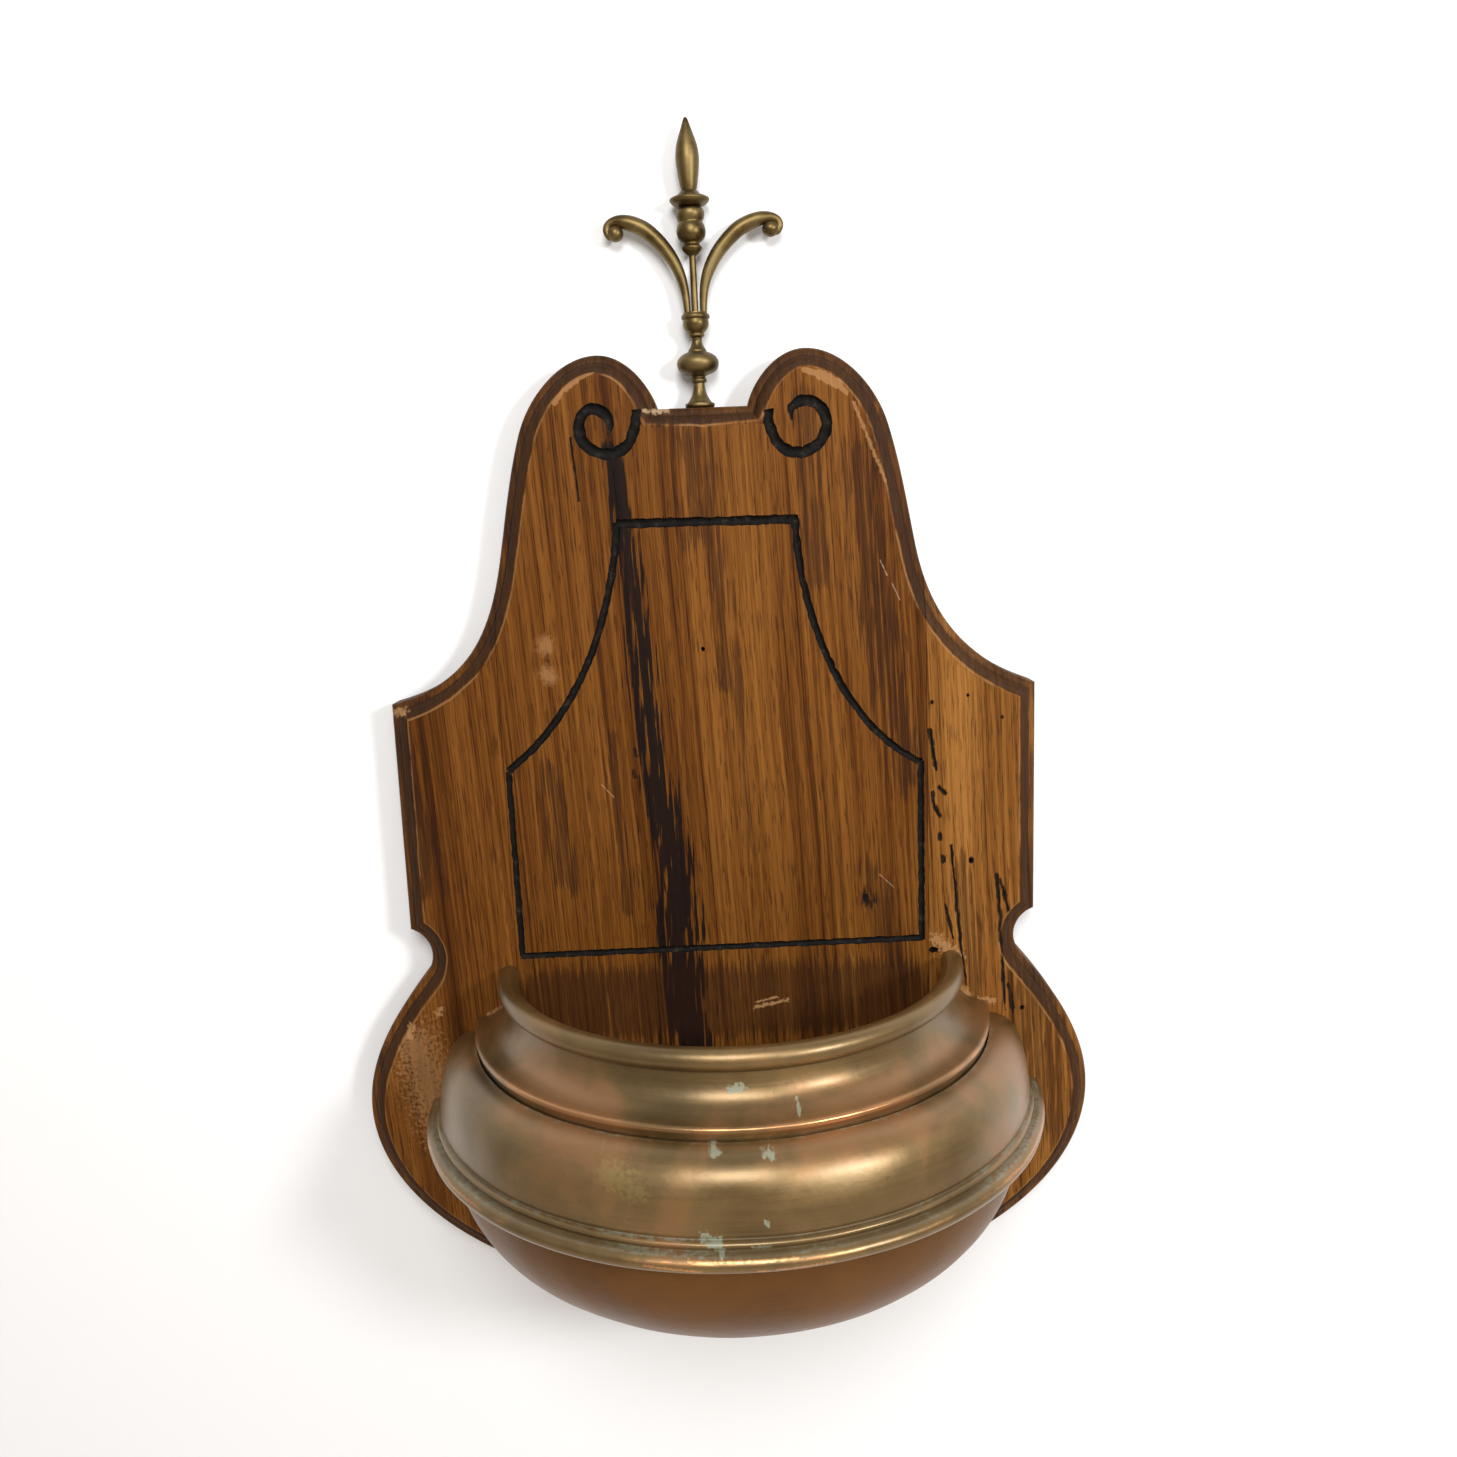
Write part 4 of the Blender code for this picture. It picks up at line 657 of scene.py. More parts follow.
# %% The moulded board
MOULD_STEPS = [(0.25, 0.9), (0.35, 0.8), (0.6, 0.8), (0.9, 0.7), (1.3, 0.5), (1.2, 0.1), (0.5, 0.9),
               (0.6, 1.1), (0.9, 1.0), (1.2, 0.8),
               (1.5, 0.5), (1.6, 0.15), (0.1, 1.3), (0.15, 0.4), (0.25, 0.2), (0.6, 0.05), (1.6, 0),
               (4, 0), (8, 0)]
FINEST = 0.55


def front_face(bm):
    return min((f for f in bm.faces if len(f.verts) > 60), key=lambda f: f.calc_center_median().y)


def clear_corners(bm, inward):
    """Merge the edges that the next inset would turn inside out, into the sharper of their two corners."""
    while True:
        ring = list(front_face(bm).verts)
        p = np.array([(v.co.x, v.co.z) for v in ring])
        run = np.roll(p, -1, 0) - p
        length = np.linalg.norm(run, axis=1)
        before = np.roll(run, 1, 0)
        turn = np.arctan2(before[:, 0] * run[:, 1] - before[:, 1] * run[:, 0], (before * run).sum(1))
        if turn.sum() < 0:
            turn = -turn
        reach = inward * np.tan(turn / 2)
        left = length - reach - np.roll(reach, -1)
        worst = int(np.argmin(left / length))
        if left[worst] > 0.12 * length[worst]:
            return
        a, b = worst, (worst + 1) % len(ring)
        keep = a if abs(turn[a]) > abs(turn[b]) else b
        bmesh.ops.pointmerge(bm, verts=[ring[a], ring[b]], merge_co=ring[keep].co.copy())


def moulded_board():
    bm = bmesh.new()
    back = bm.faces.new([bm.verts.new((x, 0, z)) for x, z in OUTLINE])
    grown = bmesh.ops.extrude_face_region(bm, geom=[back], use_keep_orig=True)
    lifted = [v for v in grown["geom"] if isinstance(v, bmesh.types.BMVert)]
    rise = sum(step[1] for step in MOULD_STEPS)
    bmesh.ops.translate(bm, verts=lifted, vec=(0, FACE_Y + rise * MM, 0))
    bmesh.ops.recalc_face_normals(bm, faces=bm.faces)
    for inward, forward in MOULD_STEPS:
        parts = math.ceil(inward / FINEST) if forward else math.ceil(inward / 1.4)
        for _ in range(parts):
            clear_corners(bm, inward / parts * MM)
            bmesh.ops.inset_region(bm, faces=[front_face(bm)], thickness=inward / parts * MM,
                                   depth=forward / parts * MM,
                                   use_even_offset=True, use_boundary=True)
    bm.normal_update()
    return bm


# %% [markdown]
# Grooves, splits and worm tracks are carved by tubes that are half sunk in the face. A hand-cut groove is
# never quite even, so each tube wanders a little and swells and thins along its way. The noise that does it
# always gives the same numbers, so the board comes out the same each time.

# %% Tubes to carve with
def resample(points, gap):
    """Points at an even spacing along a line of points."""
    p = np.array(points, float)
    far = np.r_[0, np.cumsum(np.linalg.norm(np.diff(p, axis=0), axis=1))]
    at = np.linspace(0, far[-1], max(2, int(far[-1] / gap) + 1))
    return np.c_[np.interp(at, far, p[:, 0]), np.interp(at, far, p[:, 1])]


def smooth_line(points, steps=6):
    """A smooth line through a few points (a Catmull-Rom spline)."""
    p = [np.array(q, float) for q in points]
    p = [2 * p[0] - p[1]] + p + [2 * p[-1] - p[-2]]
    line = []
    for a, b, c, d in zip(p, p[1:], p[2:], p[3:]):
        for i in range(steps):
            s = i / steps
            line.append(0.5 * (2 * b + (c - a) * s + (2 * a - 5 * b + 4 * c - d) * s ** 2
                               + (3 * b - a - 3 * c + d) * s ** 3))
    return line + [p[-2]]


def tube(points, radii, sides=3, closed=False):
    """A bmesh tube along (x, y, z) points."""
    curve = bpy.data.curves.new("tube", "CURVE")
    curve.dimensions = "3D"
    curve.bevel_depth = 1
    curve.bevel_resolution = sides
    curve.use_fill_caps = True
    spline = curve.splines.new("POLY")
    spline.points.add(len(points) - 1)
    spline.use_cyclic_u = closed
    for point, where, radius in zip(spline.points, points, radii):
        point.co = (*where, 1)
        point.radius = radius
    guide = bpy.data.objects.new("tube", curve)
    scene.collection.objects.link(guide)
    mesh = bpy.data.meshes.new_from_object(guide.evaluated_get(bpy.context.evaluated_depsgraph_get()))
    bpy.data.objects.remove(guide, do_unlink=True)
    bpy.data.curves.remove(curve)
    bm = bmesh.new()
    bm.from_mesh(mesh)
    bmesh.ops.remove_doubles(bm, verts=bm.verts, dist=1e-7)
    bmesh.ops.recalc_face_normals(bm, faces=bm.faces)
    bpy.data.meshes.remove(mesh)
    return bm


def carver(points_mm, radius_mm, wobble=0.20, gap_mm=1.8, sides=3, above_mm=0.0, taper=False):
    """A tube along a line on the face, its axis a little in front of it or right at it."""
    line = resample(points_mm, gap_mm)
    places, radii = [], []
    for x, z in line:
        n = noise.noise_vector(Vector((x * 0.31, z * 0.27, radius_mm * 7)))
        places.append(((x + n.x * wobble * radius_mm) * MM, FACE_Y - above_mm * MM,
                       (z + n.y * wobble * radius_mm) * MM))
        swell = min(1, 0.22 + len(radii) / 9) if taper else 1
        radii.append(radius_mm * MM * swell * (1 + 1.1 * wobble * n.z))
    return tube(places, radii, sides)


def box(low, high):
    bm = bmesh.new()
    bmesh.ops.create_cube(bm, size=1)
    low, high = Vector(low), Vector(high)
    bmesh.ops.scale(bm, verts=bm.verts, vec=high - low)
    bmesh.ops.translate(bm, verts=bm.verts, vec=(high + low) / 2)
    return bm


def bore(spot, direction, radius, length):
    bm = bmesh.new()
    bmesh.ops.create_cone(bm, cap_ends=True, segments=20, radius1=radius, radius2=radius, depth=length)
    bmesh.ops.translate(bm, verts=bm.verts, vec=(0, 0, length / 2))
    lay = Vector((0, 0, 1)).rotation_difference(Vector(direction)).to_matrix()
    bmesh.ops.rotate(bm, verts=bm.verts, cent=(0, 0, 0), matrix=lay)
    bmesh.ops.translate(bm, verts=bm.verts, vec=spot)
    return bm


def cut_out(bm, cutters, finishes):
    """Cut a list of (bmesh, slot) cutters out of a bmesh; the cut faces take that material slot."""
    made = bpy.data.meshes.new("stock")
    bmesh.ops.recalc_face_normals(bm, faces=bm.faces)
    bm.to_mesh(made)
    bm.free()
    for finish in finishes:
        made.materials.append(finish)
    stock = bpy.data.objects.new("stock", made)
    scene.collection.objects.link(stock)
    spent = [stock]
    for cutter, slot in cutters:
        bmesh.ops.recalc_face_normals(cutter, faces=cutter.faces)
        tool = bpy.data.meshes.new("cutter")
        cutter.to_mesh(tool)
        cutter.free()
        tool.materials.append(finishes[slot])
        blade = bpy.data.objects.new("cutter", tool)
        scene.collection.objects.link(blade)
        step = stock.modifiers.new("cut", "BOOLEAN")
        step.object = blade
        step.solver = "EXACT"
        step.material_mode = "TRANSFER"
        spent.append(blade)
    result = bpy.data.meshes.new_from_object(stock.evaluated_get(bpy.context.evaluated_depsgraph_get()))
    for old in spent:
        data = old.data
        bpy.data.objects.remove(old, do_unlink=True)
        bpy.data.meshes.remove(data)
    return result


def join(cutters):
    """Several cutters that don't touch, as one."""
    whole = bmesh.new()
    for one in cutters:
        part = bpy.data.meshes.new("part")
        one.to_mesh(part)
        one.free()
        whole.from_mesh(part)
        bpy.data.meshes.remove(part)
    return whole


# %% [markdown]
# The board is three planks, pegged and glued edge to edge. Each plank is the whole moulded board sliced at
# its joints, then carved. The panel is a line that bows in towards the top; the volutes are two scrolls that
# leave the moulding beside the finial and curl round once.

# %% Lines carved in the face
SEAM_X = 129.0
PANEL_TOP = [(-53.4, 276.8), (53.6, 275.8)]
PANEL_LEFT = sweep((-52.5, 277.4), -96, (-126.4, 130.6), -144, 40, (0.35, 0.35)) + [(-126.4, 130.6)]
PANEL_RIGHT = sweep((52.3, 276.6), -89, (125.6, 126.8), -27, 40, (0.30, 0.35)) + [(125.6, 126.8)]
LEFT_LEG, RIGHT_LEG = [(-126.2, 130.2), (-125.2, 12.0)], [(125.0, 127.6), (124.6, 13.8)]
PANEL_FOOT = [(-126.0, 12.2), (125.2, 15.2)]


def scroll(stops):
    """A scroll through its outermost points, each with the way the line is heading there."""
    line = []
    for (start, leave), (end, arrive) in zip(stops, stops[1:]):
        line += sweep(start, leave, end, arrive, 8, (0.39, 0.39))
    return line + [stops[-1][0]]


VOLUTE_LEFT = scroll([((-55, 328), 59), ((-53.5, 333), 90), ((-63.5, 343), 180), ((-72, 331.5), 270),
                      ((-55, 317), 360), ((-37.5, 342), 446)])
VOLUTE_RIGHT = scroll([((52, 332.5), 97), ((51.5, 337), 90), ((60.5, 343.5), 0), ((72, 330.5), -90),
                       ((55.5, 314), -180), ((38, 339.5), -273)])
MIDDLE_LINES = [(PANEL_LEFT, 2.35), (PANEL_TOP, 2.8), (PANEL_RIGHT, 2.35), (PANEL_FOOT, 2.1),
                (LEFT_LEG, 2.0), (RIGHT_LEG, 2.1), (VOLUTE_LEFT, 3.5), (VOLUTE_RIGHT, 3.5)]
MIDDLE_SPLITS = [([(-38.5, 279.6), (-38.3, 274.0)], 0.55), ([(-25.0, 280.2), (-24.7, 273.4)], 0.5),
                 ([(-13.5, 279.4), (-13.2, 273.8)], 0.45),
                 ([(-77.4, 327), (-75.5, 309), (-74.4, 291)], 0.45), ([(-53.4, 308), (-52.6, 292)], 0.3)]
RIGHT_SPLITS = [([(143.1, 74), (145.6, 44), (148.4, 14), (152.1, -12)], 0.5),
                ([(139.2, 36), (144.1, 14)], 0.5),
                ([(171.5, 54), (174.6, 8), (176.7, -30)], 0.5), ([(174.9, 47), (178.4, 31)], 0.6),
                ([(179.5, -18), (182.7, -34)], 0.5),
                ([(131.2, 147), (131.8, 138), (134.4, 122)], 0.95), ([(135.4, 111), (140.2, 106.8)], 0.95),
                ([(131.7, 106.0), (133, 99), (136, 93)], 0.85), ([(136.4, 81.4), (136.8, 78.5)], 1.3),
                ([(138.8, 67), (139, 63.5)], 1.0)]
print("carved lines:", len(MIDDLE_LINES) + len(MIDDLE_SPLITS) + len(RIGHT_SPLITS))


# %% Slice, cut and finish a plank
def plank_stock(low, high):
    bm = moulded_board()
    for x, outwards in ((low, -1), (high, 1)):
        if x is not None:
            everything = bm.verts[:] + bm.edges[:] + bm.faces[:]
            bmesh.ops.bisect_plane(bm, geom=everything, dist=1e-7, plane_co=(x * MM, 0, 0),
                                   plane_no=(outwards, 0, 0),
                                   clear_outer=True)
            rim = [e for e in bm.edges if e.is_boundary]
            bmesh.ops.contextual_create(bm, geom=rim)
    return bm


def mark_rim(mesh):
    """Store each vertex's distance in from the board's outline."""
    co = np.array([v.co for v in mesh.vertices], float)[:, (0, 2)]
    a = np.array(OUTLINE)
    d = np.roll(a, -1, 0) - a
    best = np.full(len(co), 0.03)
    for start in range(0, len(co), 4000):
        p = co[start:start + 4000, None, :] - a[None]
        s = np.clip((p * d).sum(2) / (d * d).sum(1), 0, 1)
        gap = np.linalg.norm(p - s[..., None] * d, axis=2).min(1)
        best[start:start + 4000] = np.minimum(gap, 0.03)
    mesh.attributes.new("rim", "FLOAT", "POINT").data.foreach_set("value", best.astype(np.float32))


def beds():
    """Hollows in the back for the two battens."""
    cutters = []
    for batten in ("upper_batten", "lower_batten"):
        low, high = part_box(batten)
        room = Vector((0.3, 0.3, 0.3)) * MM
        cutters.append(box(low - room, high + room + Vector((0, MM, 0))))
    return cutters


def hanger_beds():
    cutters, pockets = [], []
    for side in ("left", "right"):
        low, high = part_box(f"hanger_plate_{side}")
        room = Vector((0.3, 0.3, 0.3)) * MM
        cutters.append(box(low - room, high + room + Vector((0, MM, 0))))
        middle = (low + high) / 2
        pockets.append(box(middle + Vector((-5.8, -9, -10.8)) * MM,
                           middle + Vector((5.8, -0.5, 10.8)) * MM))
    return [join(cutters), join(pockets)]


def peg_bores():
    cutters = []
    for side in ("left", "right"):
        for number in (1, 2, 3):
            low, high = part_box(f"dowel_{side}_{number}")
            middle = (low + high) / 2
            cutters.append(bore((low.x - 0.3 * MM, middle.y, middle.z), (1, 0, 0), 4.3 * MM,
                                high.x - low.x + 0.6 * MM))
    return join(cutters)


def screw_bores(names):
    cutters = []
    for name in names:
        low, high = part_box(name)
        middle = (low + high) / 2
        cutters.append(bore((middle.x, low.y - 0.3 * MM, middle.z), (0, 1, 0), 2.2 * MM,
                            high.y - low.y - 1 * MM))
    return join(cutters)


BATTEN_SCREWS = [f"{level}_batten_screw_{spot}" for level in ("upper", "lower") for spot in ("left",
    "middle", "right")]
HANGER_SCREWS = [f"hanger_screw_{side}_{end}" for side in ("left", "right") for end in ("top", "foot")]
TAB_SCREWS = ["tab_screw_" + spot for spot in ("upper_left", "upper_right", "lower_left", "lower_right",
                                               "bottom")]


def within(names, low, high):
    return [n for n in names if low < (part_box(n)[0].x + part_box(n)[1].x) / 2 / MM < high]


def tab_bores(names):
    cutters = []
    for name in names:
        low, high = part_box(name)
        cutters.append(bore(((low.x + high.x) / 2, FACE_Y - MM, (low.z + high.z) / 2), (0, 1, 0), 2.2 * MM,
                            high.y - FACE_Y + 1.3 * MM))
    return join(cutters)


def make_plank(name, node, low, high, finish, lines, splits, extra=()):
    WOOD, STAIN = 0, 1
    cutters = [(carver(points, radius, above_mm=0.5 if radius > 3 else 0, taper=radius > 3),
                STAIN) for points, radius in lines]
    cutters += [(carver(points, radius, wobble=0.3, gap_mm=1.6, sides=1), STAIN) for points,
                radius in splits]
    cutters += [(one, WOOD) for one in beds()[0 if low is not None and high is not None else 1:]]
    cutters += [(peg_bores(), WOOD)]
    span = (low or -300, high or 300)
    cutters += [(tab_bores(within(TAB_SCREWS, *span)), WOOD),
                (screw_bores(within(BATTEN_SCREWS, *span)), WOOD)]
    cutters += list(extra)
    mesh = cut_out(plank_stock(low, high), cutters, [finish, GROOVE_STAIN])
    mark_rim(mesh)
    print(name, "slots:", [m.name for m in mesh.materials], "stained faces:",
          sum(f.material_index == 1 for f in mesh.polygons))
    return dress(name, mesh, [], "font", [node], sharp=38)


def pit(x, z, rx, rz, depth):
    """A torn-out hollow in the face."""
    bm = bmesh.new()
    bmesh.ops.create_icosphere(bm, subdivisions=3, radius=1)
    for v in bm.verts:
        v.co *= 1 + 0.35 * noise.noise(v.co * 2.1 + Vector((x, z, 0)))
    bmesh.ops.scale(bm, verts=bm.verts, vec=(rx * MM, depth * MM, rz * MM))
    bmesh.ops.translate(bm, verts=bm.verts, vec=(x * MM, FACE_Y, z * MM))
    return bm


insert_low, insert_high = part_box("finial_insert")
insert_mid = (insert_low + insert_high) / 2
MIDDLE_EXTRA = [(cutter, 0) for cutter in hanger_beds()]
MIDDLE_EXTRA += [(screw_bores(HANGER_SCREWS), 0), (pit(-4.8, 201.0, 1.1, 1.5, 6), 1),
                 (pit(90, 42.5, 1.7, 2.6, 0.9), 1)]
MIDDLE_EXTRA += [(bore((insert_mid.x, insert_mid.y, insert_low.z - MM), (0, 0, 1), 4.3 * MM, 30 * MM), 0)]
RIGHT_EXTRA = [(pit(131.9, 7.0, 2.9, 1.9, 5), 1), (pit(155.4, 64.0, 1.3, 1.4, 4), 1),
               (pit(136.5, 3.5, 5.0, 2.2, 0.8), 0),
               (pit(187.4, -33.2, 1.0, 1.0, 3), 1), (pit(153.8, 167.2, 0.7, 0.7, 3), 1),
               (pit(132.1, 163.8, 0.7, 0.7, 3), 1)]
make_plank("walnut_middle", "board_middle_plank", -SEAM_X + 0.15, SEAM_X - 0.15, WALNUT_MIDDLE,
           MIDDLE_LINES, MIDDLE_SPLITS, MIDDLE_EXTRA)
make_plank("walnut_left", "board_left_plank", None, -SEAM_X - 0.15, WALNUT_LEFT, [], [])
make_plank("walnut_right", "board_right_plank", SEAM_X + 0.15, None, WALNUT_RIGHT, [], RIGHT_SPLITS,
           RIGHT_EXTRA)

# %% [markdown]
# ## The basin
# Sheet copper was beaten over wooden forms into four rings and soldered: a rolled bead over a wire, a hollow
# neck, a swelling shoulder with two beads at its foot, and a bowl. Each ring is a section half turned about
# the basin's axis. Beaten metal is never quite true, so the surface is pushed in a fraction of a millimetre
# here and there, and dented where the real one is dented.

# %% Sections of the rings
AXIS_X, AXIS_Y = 4.5 * MM, -21.9 * MM
SHEET = 1.5 * MM


def inwards(profile, distance):
    """The profile moved square to itself: the inner face of a sheet."""
    p = np.array(profile, float)
    into = np.diff(np.vstack([2 * p[0] - p[1], p]), axis=0)
    out = np.diff(np.vstack([p, 2 * p[-1] - p[-2]]), axis=0)
    into /= np.linalg.norm(into, axis=1)[:, None]
    out /= np.linalg.norm(out, axis=1)[:, None]
    side = np.c_[-into[:, 1], into[:, 0]] + np.c_[-out[:, 1], out[:, 0]]
    return [tuple(q) for q in p - distance * side / (1 + (into * out).sum(1))[:, None]]


def sheet(profile):
    return profile + inwards(profile, SHEET)[::-1]


def bead_section():
    outer = arc((138.5 * MM, 0), 6.5 * MM, 6.5 * MM, -72, 252, 30)
    return outer + arc((138.5 * MM, 0), 5.5 * MM, 5.5 * MM, 252, -72, 24)


def collar_section():
    profile = sweep(mm(140, -6.8), -86, mm(160.2, -27.6), -12, 22, (0.5, 0.45))
    profile += sweep(mm(160.2, -27.6), -18, mm(161.2, -29.6), -95, 4) + sweep(mm(161.2, -29.6), -95,
        mm(160.0, -33.4), -95, 4)
    profile += [mm(160.0, -33.4), mm(159.8, -34.3), mm(158.7, -34.6), mm(158.7, -42.7)]
    return sheet(profile)


def shoulder_section():
    profile = sweep(mm(160.8, -35.0), -8, mm(184.7, -73.9), -89, 30, (0.4, 0.5))
    profile += [mm(184.7, -73.9), mm(184.1, -74.5), mm(184.3, -75.1), mm(185.6, -75.4)]
    profile += arc(mm(185.4, -77.2), 1.9 * MM, 1.8 * MM, 70, -60, 7)
    profile += [mm(186.0, -79.2), mm(185.9, -79.9), mm(187.0, -80.3)]
    profile += arc(mm(187.9, -84.9), 5.9 * MM, 4.9 * MM, 76, -62, 14)
    profile += [mm(189.0, -90.4), mm(185.0, -91.6), mm(182.0, -91.8), mm(179.9, -91.8)]
    return sheet(profile)


def bowl_curve(radius, depth, steps):
    curve = []
    for i in range(steps + 1):
        bend = i / steps * math.pi / 2
        across = radius * math.cos(bend) ** (2 / 2.33) if i < steps else 0
        curve.append((across, (-91.8 - depth * math.sin(bend) ** (2 / 2.33)) * MM))
    return curve


def bowl_section():
    outer = [mm(179.5, -83.8)] + bowl_curve(179.5 * MM, 98.4, 44)
    return outer + ([mm(178.0, -83.8)] + bowl_curve(178.0 * MM, 96.9, 44))[::-1]


# %% Beat and dent the rings
DENTS = [((2, -62, 14), 26, 1.8), ((-74, -163, 0), 20, 2.6), ((60, -48, 0), 30, 0.9),
         ((-110, -58, 0), 26, 0.8)]


def beaten(bm, amount=0.85):
    """Push the sheet towards the axis by smooth noise, and press the dents in."""
    for v in bm.verts:
        out = Vector((v.co.x - AXIS_X, v.co.y - AXIS_Y, 0))
        if out.length < 1 * MM:
            continue
        wave = 0.5 + 0.6 * noise.noise(v.co * 15) + 0.22 * noise.noise(v.co * 48)
        push = amount * MM * min(max(wave, 0), 1)
        for (x, z, _), reach, depth in DENTS:
            far = math.hypot((v.co.x / MM - x) / reach, (v.co.z / MM - z) / (reach * 0.6))
            if v.co.y < -100 * MM:
                push += depth * MM * math.exp(-far * far * 2.2)
        v.co -= out.normalized() * push * min(max((FACE_Y - v.co.y) / (12 * MM), 0), 1)
    return bm


def ring(name, section, finish, node, slot, amount=0.85):
    bm = spun(section, 150, math.pi, math.pi)
    bmesh.ops.translate(bm, verts=bm.verts, vec=(AXIS_X, AXIS_Y, 0))
    bmesh.ops.bisect_plane(bm, geom=bm.verts[:] + bm.edges[:] + bm.faces[:], dist=1e-7,
                           plane_co=(0, FACE_Y - 0.1 * MM, 0),
                           plane_no=(0, 1, 0), clear_outer=True)
    bmesh.ops.holes_fill(bm, edges=[e for e in bm.edges if e.is_boundary], sides=0)
    return finish_piece(name, beaten(bm, amount), [finish], "font", [node], sharp=50)


ring("copper_bead", bead_section(), COPPER, "rim_bead", "aged_copper", 0.3)
ring("copper_collar", collar_section(), COPPER, "neck_collar", "aged_copper")
ring("copper_shoulder", shoulder_section(), COPPER, "shoulder_shell", "aged_copper")
ring("copper_bowl", bowl_section(), RED_COPPER, "lower_bowl", "red_copper")

# %% [markdown]
# The inner pan is the part that holds water, and it lifts out. It is a half-round pan of tinned sheet: a half
# turn of its outside makes a solid half drum, its lid is taken away, and the skin that is left is thickened.

# %% The inner pan
pan_low, pan_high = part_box("liner_pan")
PAN_R, PAN_Y = (pan_high.x - pan_low.x) / 2, pan_high.y
bend = arc((PAN_R - 9 * MM, pan_low.z + 9 * MM), 9 * MM, 9 * MM, -90, 0, 10)
bm = spun([(0, pan_low.z)] + bend + [(PAN_R, pan_high.z), (0, pan_high.z)], 96, math.pi, math.pi)
bmesh.ops.translate(bm, verts=bm.verts, vec=(AXIS_X, PAN_Y, 0))
bmesh.ops.recalc_face_normals(bm, faces=bm.faces)
lid = [f for f in bm.faces if f.normal.z > 0.99 and f.calc_center_median().z > pan_high.z - MM]
bmesh.ops.delete(bm, geom=lid, context="FACES")
bmesh.ops.solidify(bm, geom=bm.faces[:], thickness=1.2 * MM)
print("pan:", [round(max(v.co[i] for v in bm.verts) - min(v.co[i] for v in bm.verts), 4) for i in range(3)],
      "CAD", [round(c, 4) for c in pan_high - pan_low])
finish_piece("tinned_pan", bm, [TINNED], "pan", ["liner_pan"], sharp=40)

# %% [markdown]
# ## The finial
# The finial is a stack of turned brass pieces on one rod, with two arms brazed to the cup. Each piece is a
# profile turned all the way round. The whole stack leans a little to the left, as it has for a long time.

# %% Turned pieces
FOOT_PLACE = Vector(mm(-1.2, -9.0, 342.6))
LEAN = Matrix.Rotation(math.radians(-0.8), 3, "Y")


def leaning(bm):
    bmesh.ops.rotate(bm, verts=bm.verts, cent=(0, 0, 0), matrix=LEAN)
    bmesh.ops.translate(bm, verts=bm.verts, vec=FOOT_PLACE)
    return bm


def rounded(points_mm, steps=5):
    """A turned profile through a few (radius, height) points; a repeated point is a sharp corner."""
    runs, run = [], [points_mm[0]]
    for here, after in zip(points_mm, points_mm[1:]):
        if here == after:
            runs.append(run)
            run = [after]
        else:
            run.append(after)
    runs.append(run)
    line = []
    for run in runs:
        line += [tuple(p) for p in smooth_line(run, steps)] if len(run) > 2 else run
    return [(max(r, 0) * MM, z * MM) for r, z in line]


def turned_piece(name, points_mm, node, solid_tip=False):
    profile = rounded(points_mm)
    hole = 2.25 * MM
    if solid_tip:
        section = [(0, profile[0][1] + 11 * MM), (hole, profile[0][1] + 11 * MM),
                   (hole, profile[0][1])] + profile
    else:
        section = [(hole, profile[0][1])] + profile + [(hole, profile[-1][1])]
    clean = [section[0]] + [b for a, b in zip(section, section[1:]) if math.dist(a, b) > 2e-6]
    finish_piece(name, leaning(spun(clean, 56)), [BRASS], "font", [node], sharp=38)


turned_piece("brass_foot", [(7.1, 0), (8.4, 0.5), (8.8, 1.6), (8.5, 2.7), (8.5, 2.7), (7.3, 3.1),
                            (6.2, 4.6), (4.7, 7.2), (3.8, 10.2), (3.4, 13.6),
                            (3.4, 14.4), (3.4, 14.4), (4.3, 14.7), (4.8, 15.9), (4.3, 17.1), (4.3, 17.1),
                            (4.0, 17.6), (4.2, 18.1)], "finial_foot")
turned_piece("brass_bulb", [(4.4, 18.4), (6.2, 19.1), (9.4, 20.3), (11.6, 22.4), (12.4, 25.4),
                            (11.9, 27.8), (10.1, 30.0), (7.2, 31.6), (5.5, 32.3),
                            (5.5, 32.3), (5.3, 33.2), (4.6, 34.2), (3.6, 36.0), (3.1, 38.0), (3.2, 39.2),
                            (3.4, 40.1)], "finial_bulb")
turned_piece("brass_cup", [(3.7, 40.4), (4.5, 41.0), (4.8, 41.9), (4.4, 42.8), (4.4, 42.8), (5.6, 43.9),
                           (7.0, 45.8), (7.6, 48.2), (7.3, 50.6), (7.3, 50.6),
                           (8.1, 51.0), (8.4, 52.0), (8.0, 53.2), (8.0, 53.2), (7.2, 53.6), (7.0, 54.4)],
                           "finial_cup")
turned_piece("brass_knop", [(2.7, 86.4), (4.2, 87.8), (5.5, 89.3), (5.9, 90.8), (5.1, 92.0), (5.1, 92.0),
                            (4.6, 92.6), (4.8, 93.5), (4.8, 93.5), (6.4, 94.6),
                            (8.0, 96.8), (8.5, 99.6), (8.0, 102.4), (6.9, 104.6), (6.9, 104.6),
                            (7.0, 105.3), (7.8, 106.8), (8.25, 109.2), (7.7, 111.5),
                            (6.2, 112.7)], "finial_knop")
turned_piece("brass_dish", [(5.6, 113.0), (7.6, 113.7), (10.2, 115.0), (11.6, 116.7), (11.3, 117.8),
                            (11.3, 117.8), (9.6, 118.6), (7.4, 119.4), (6.0, 120.7),
                            (5.0, 121.7)], "finial_dish")
turned_piece("brass_spear", [(4.3, 122.0), (5.0, 125.0), (5.9, 130.8), (6.6, 136.6), (6.8, 140.6),
                             (6.3, 145.6), (5.2, 149.8), (3.7, 154.2), (2.3, 158.2),
                             (1.2, 161.2), (0.5, 161.9), (0.0, 162.0)], "finial_spear", solid_tip=True)
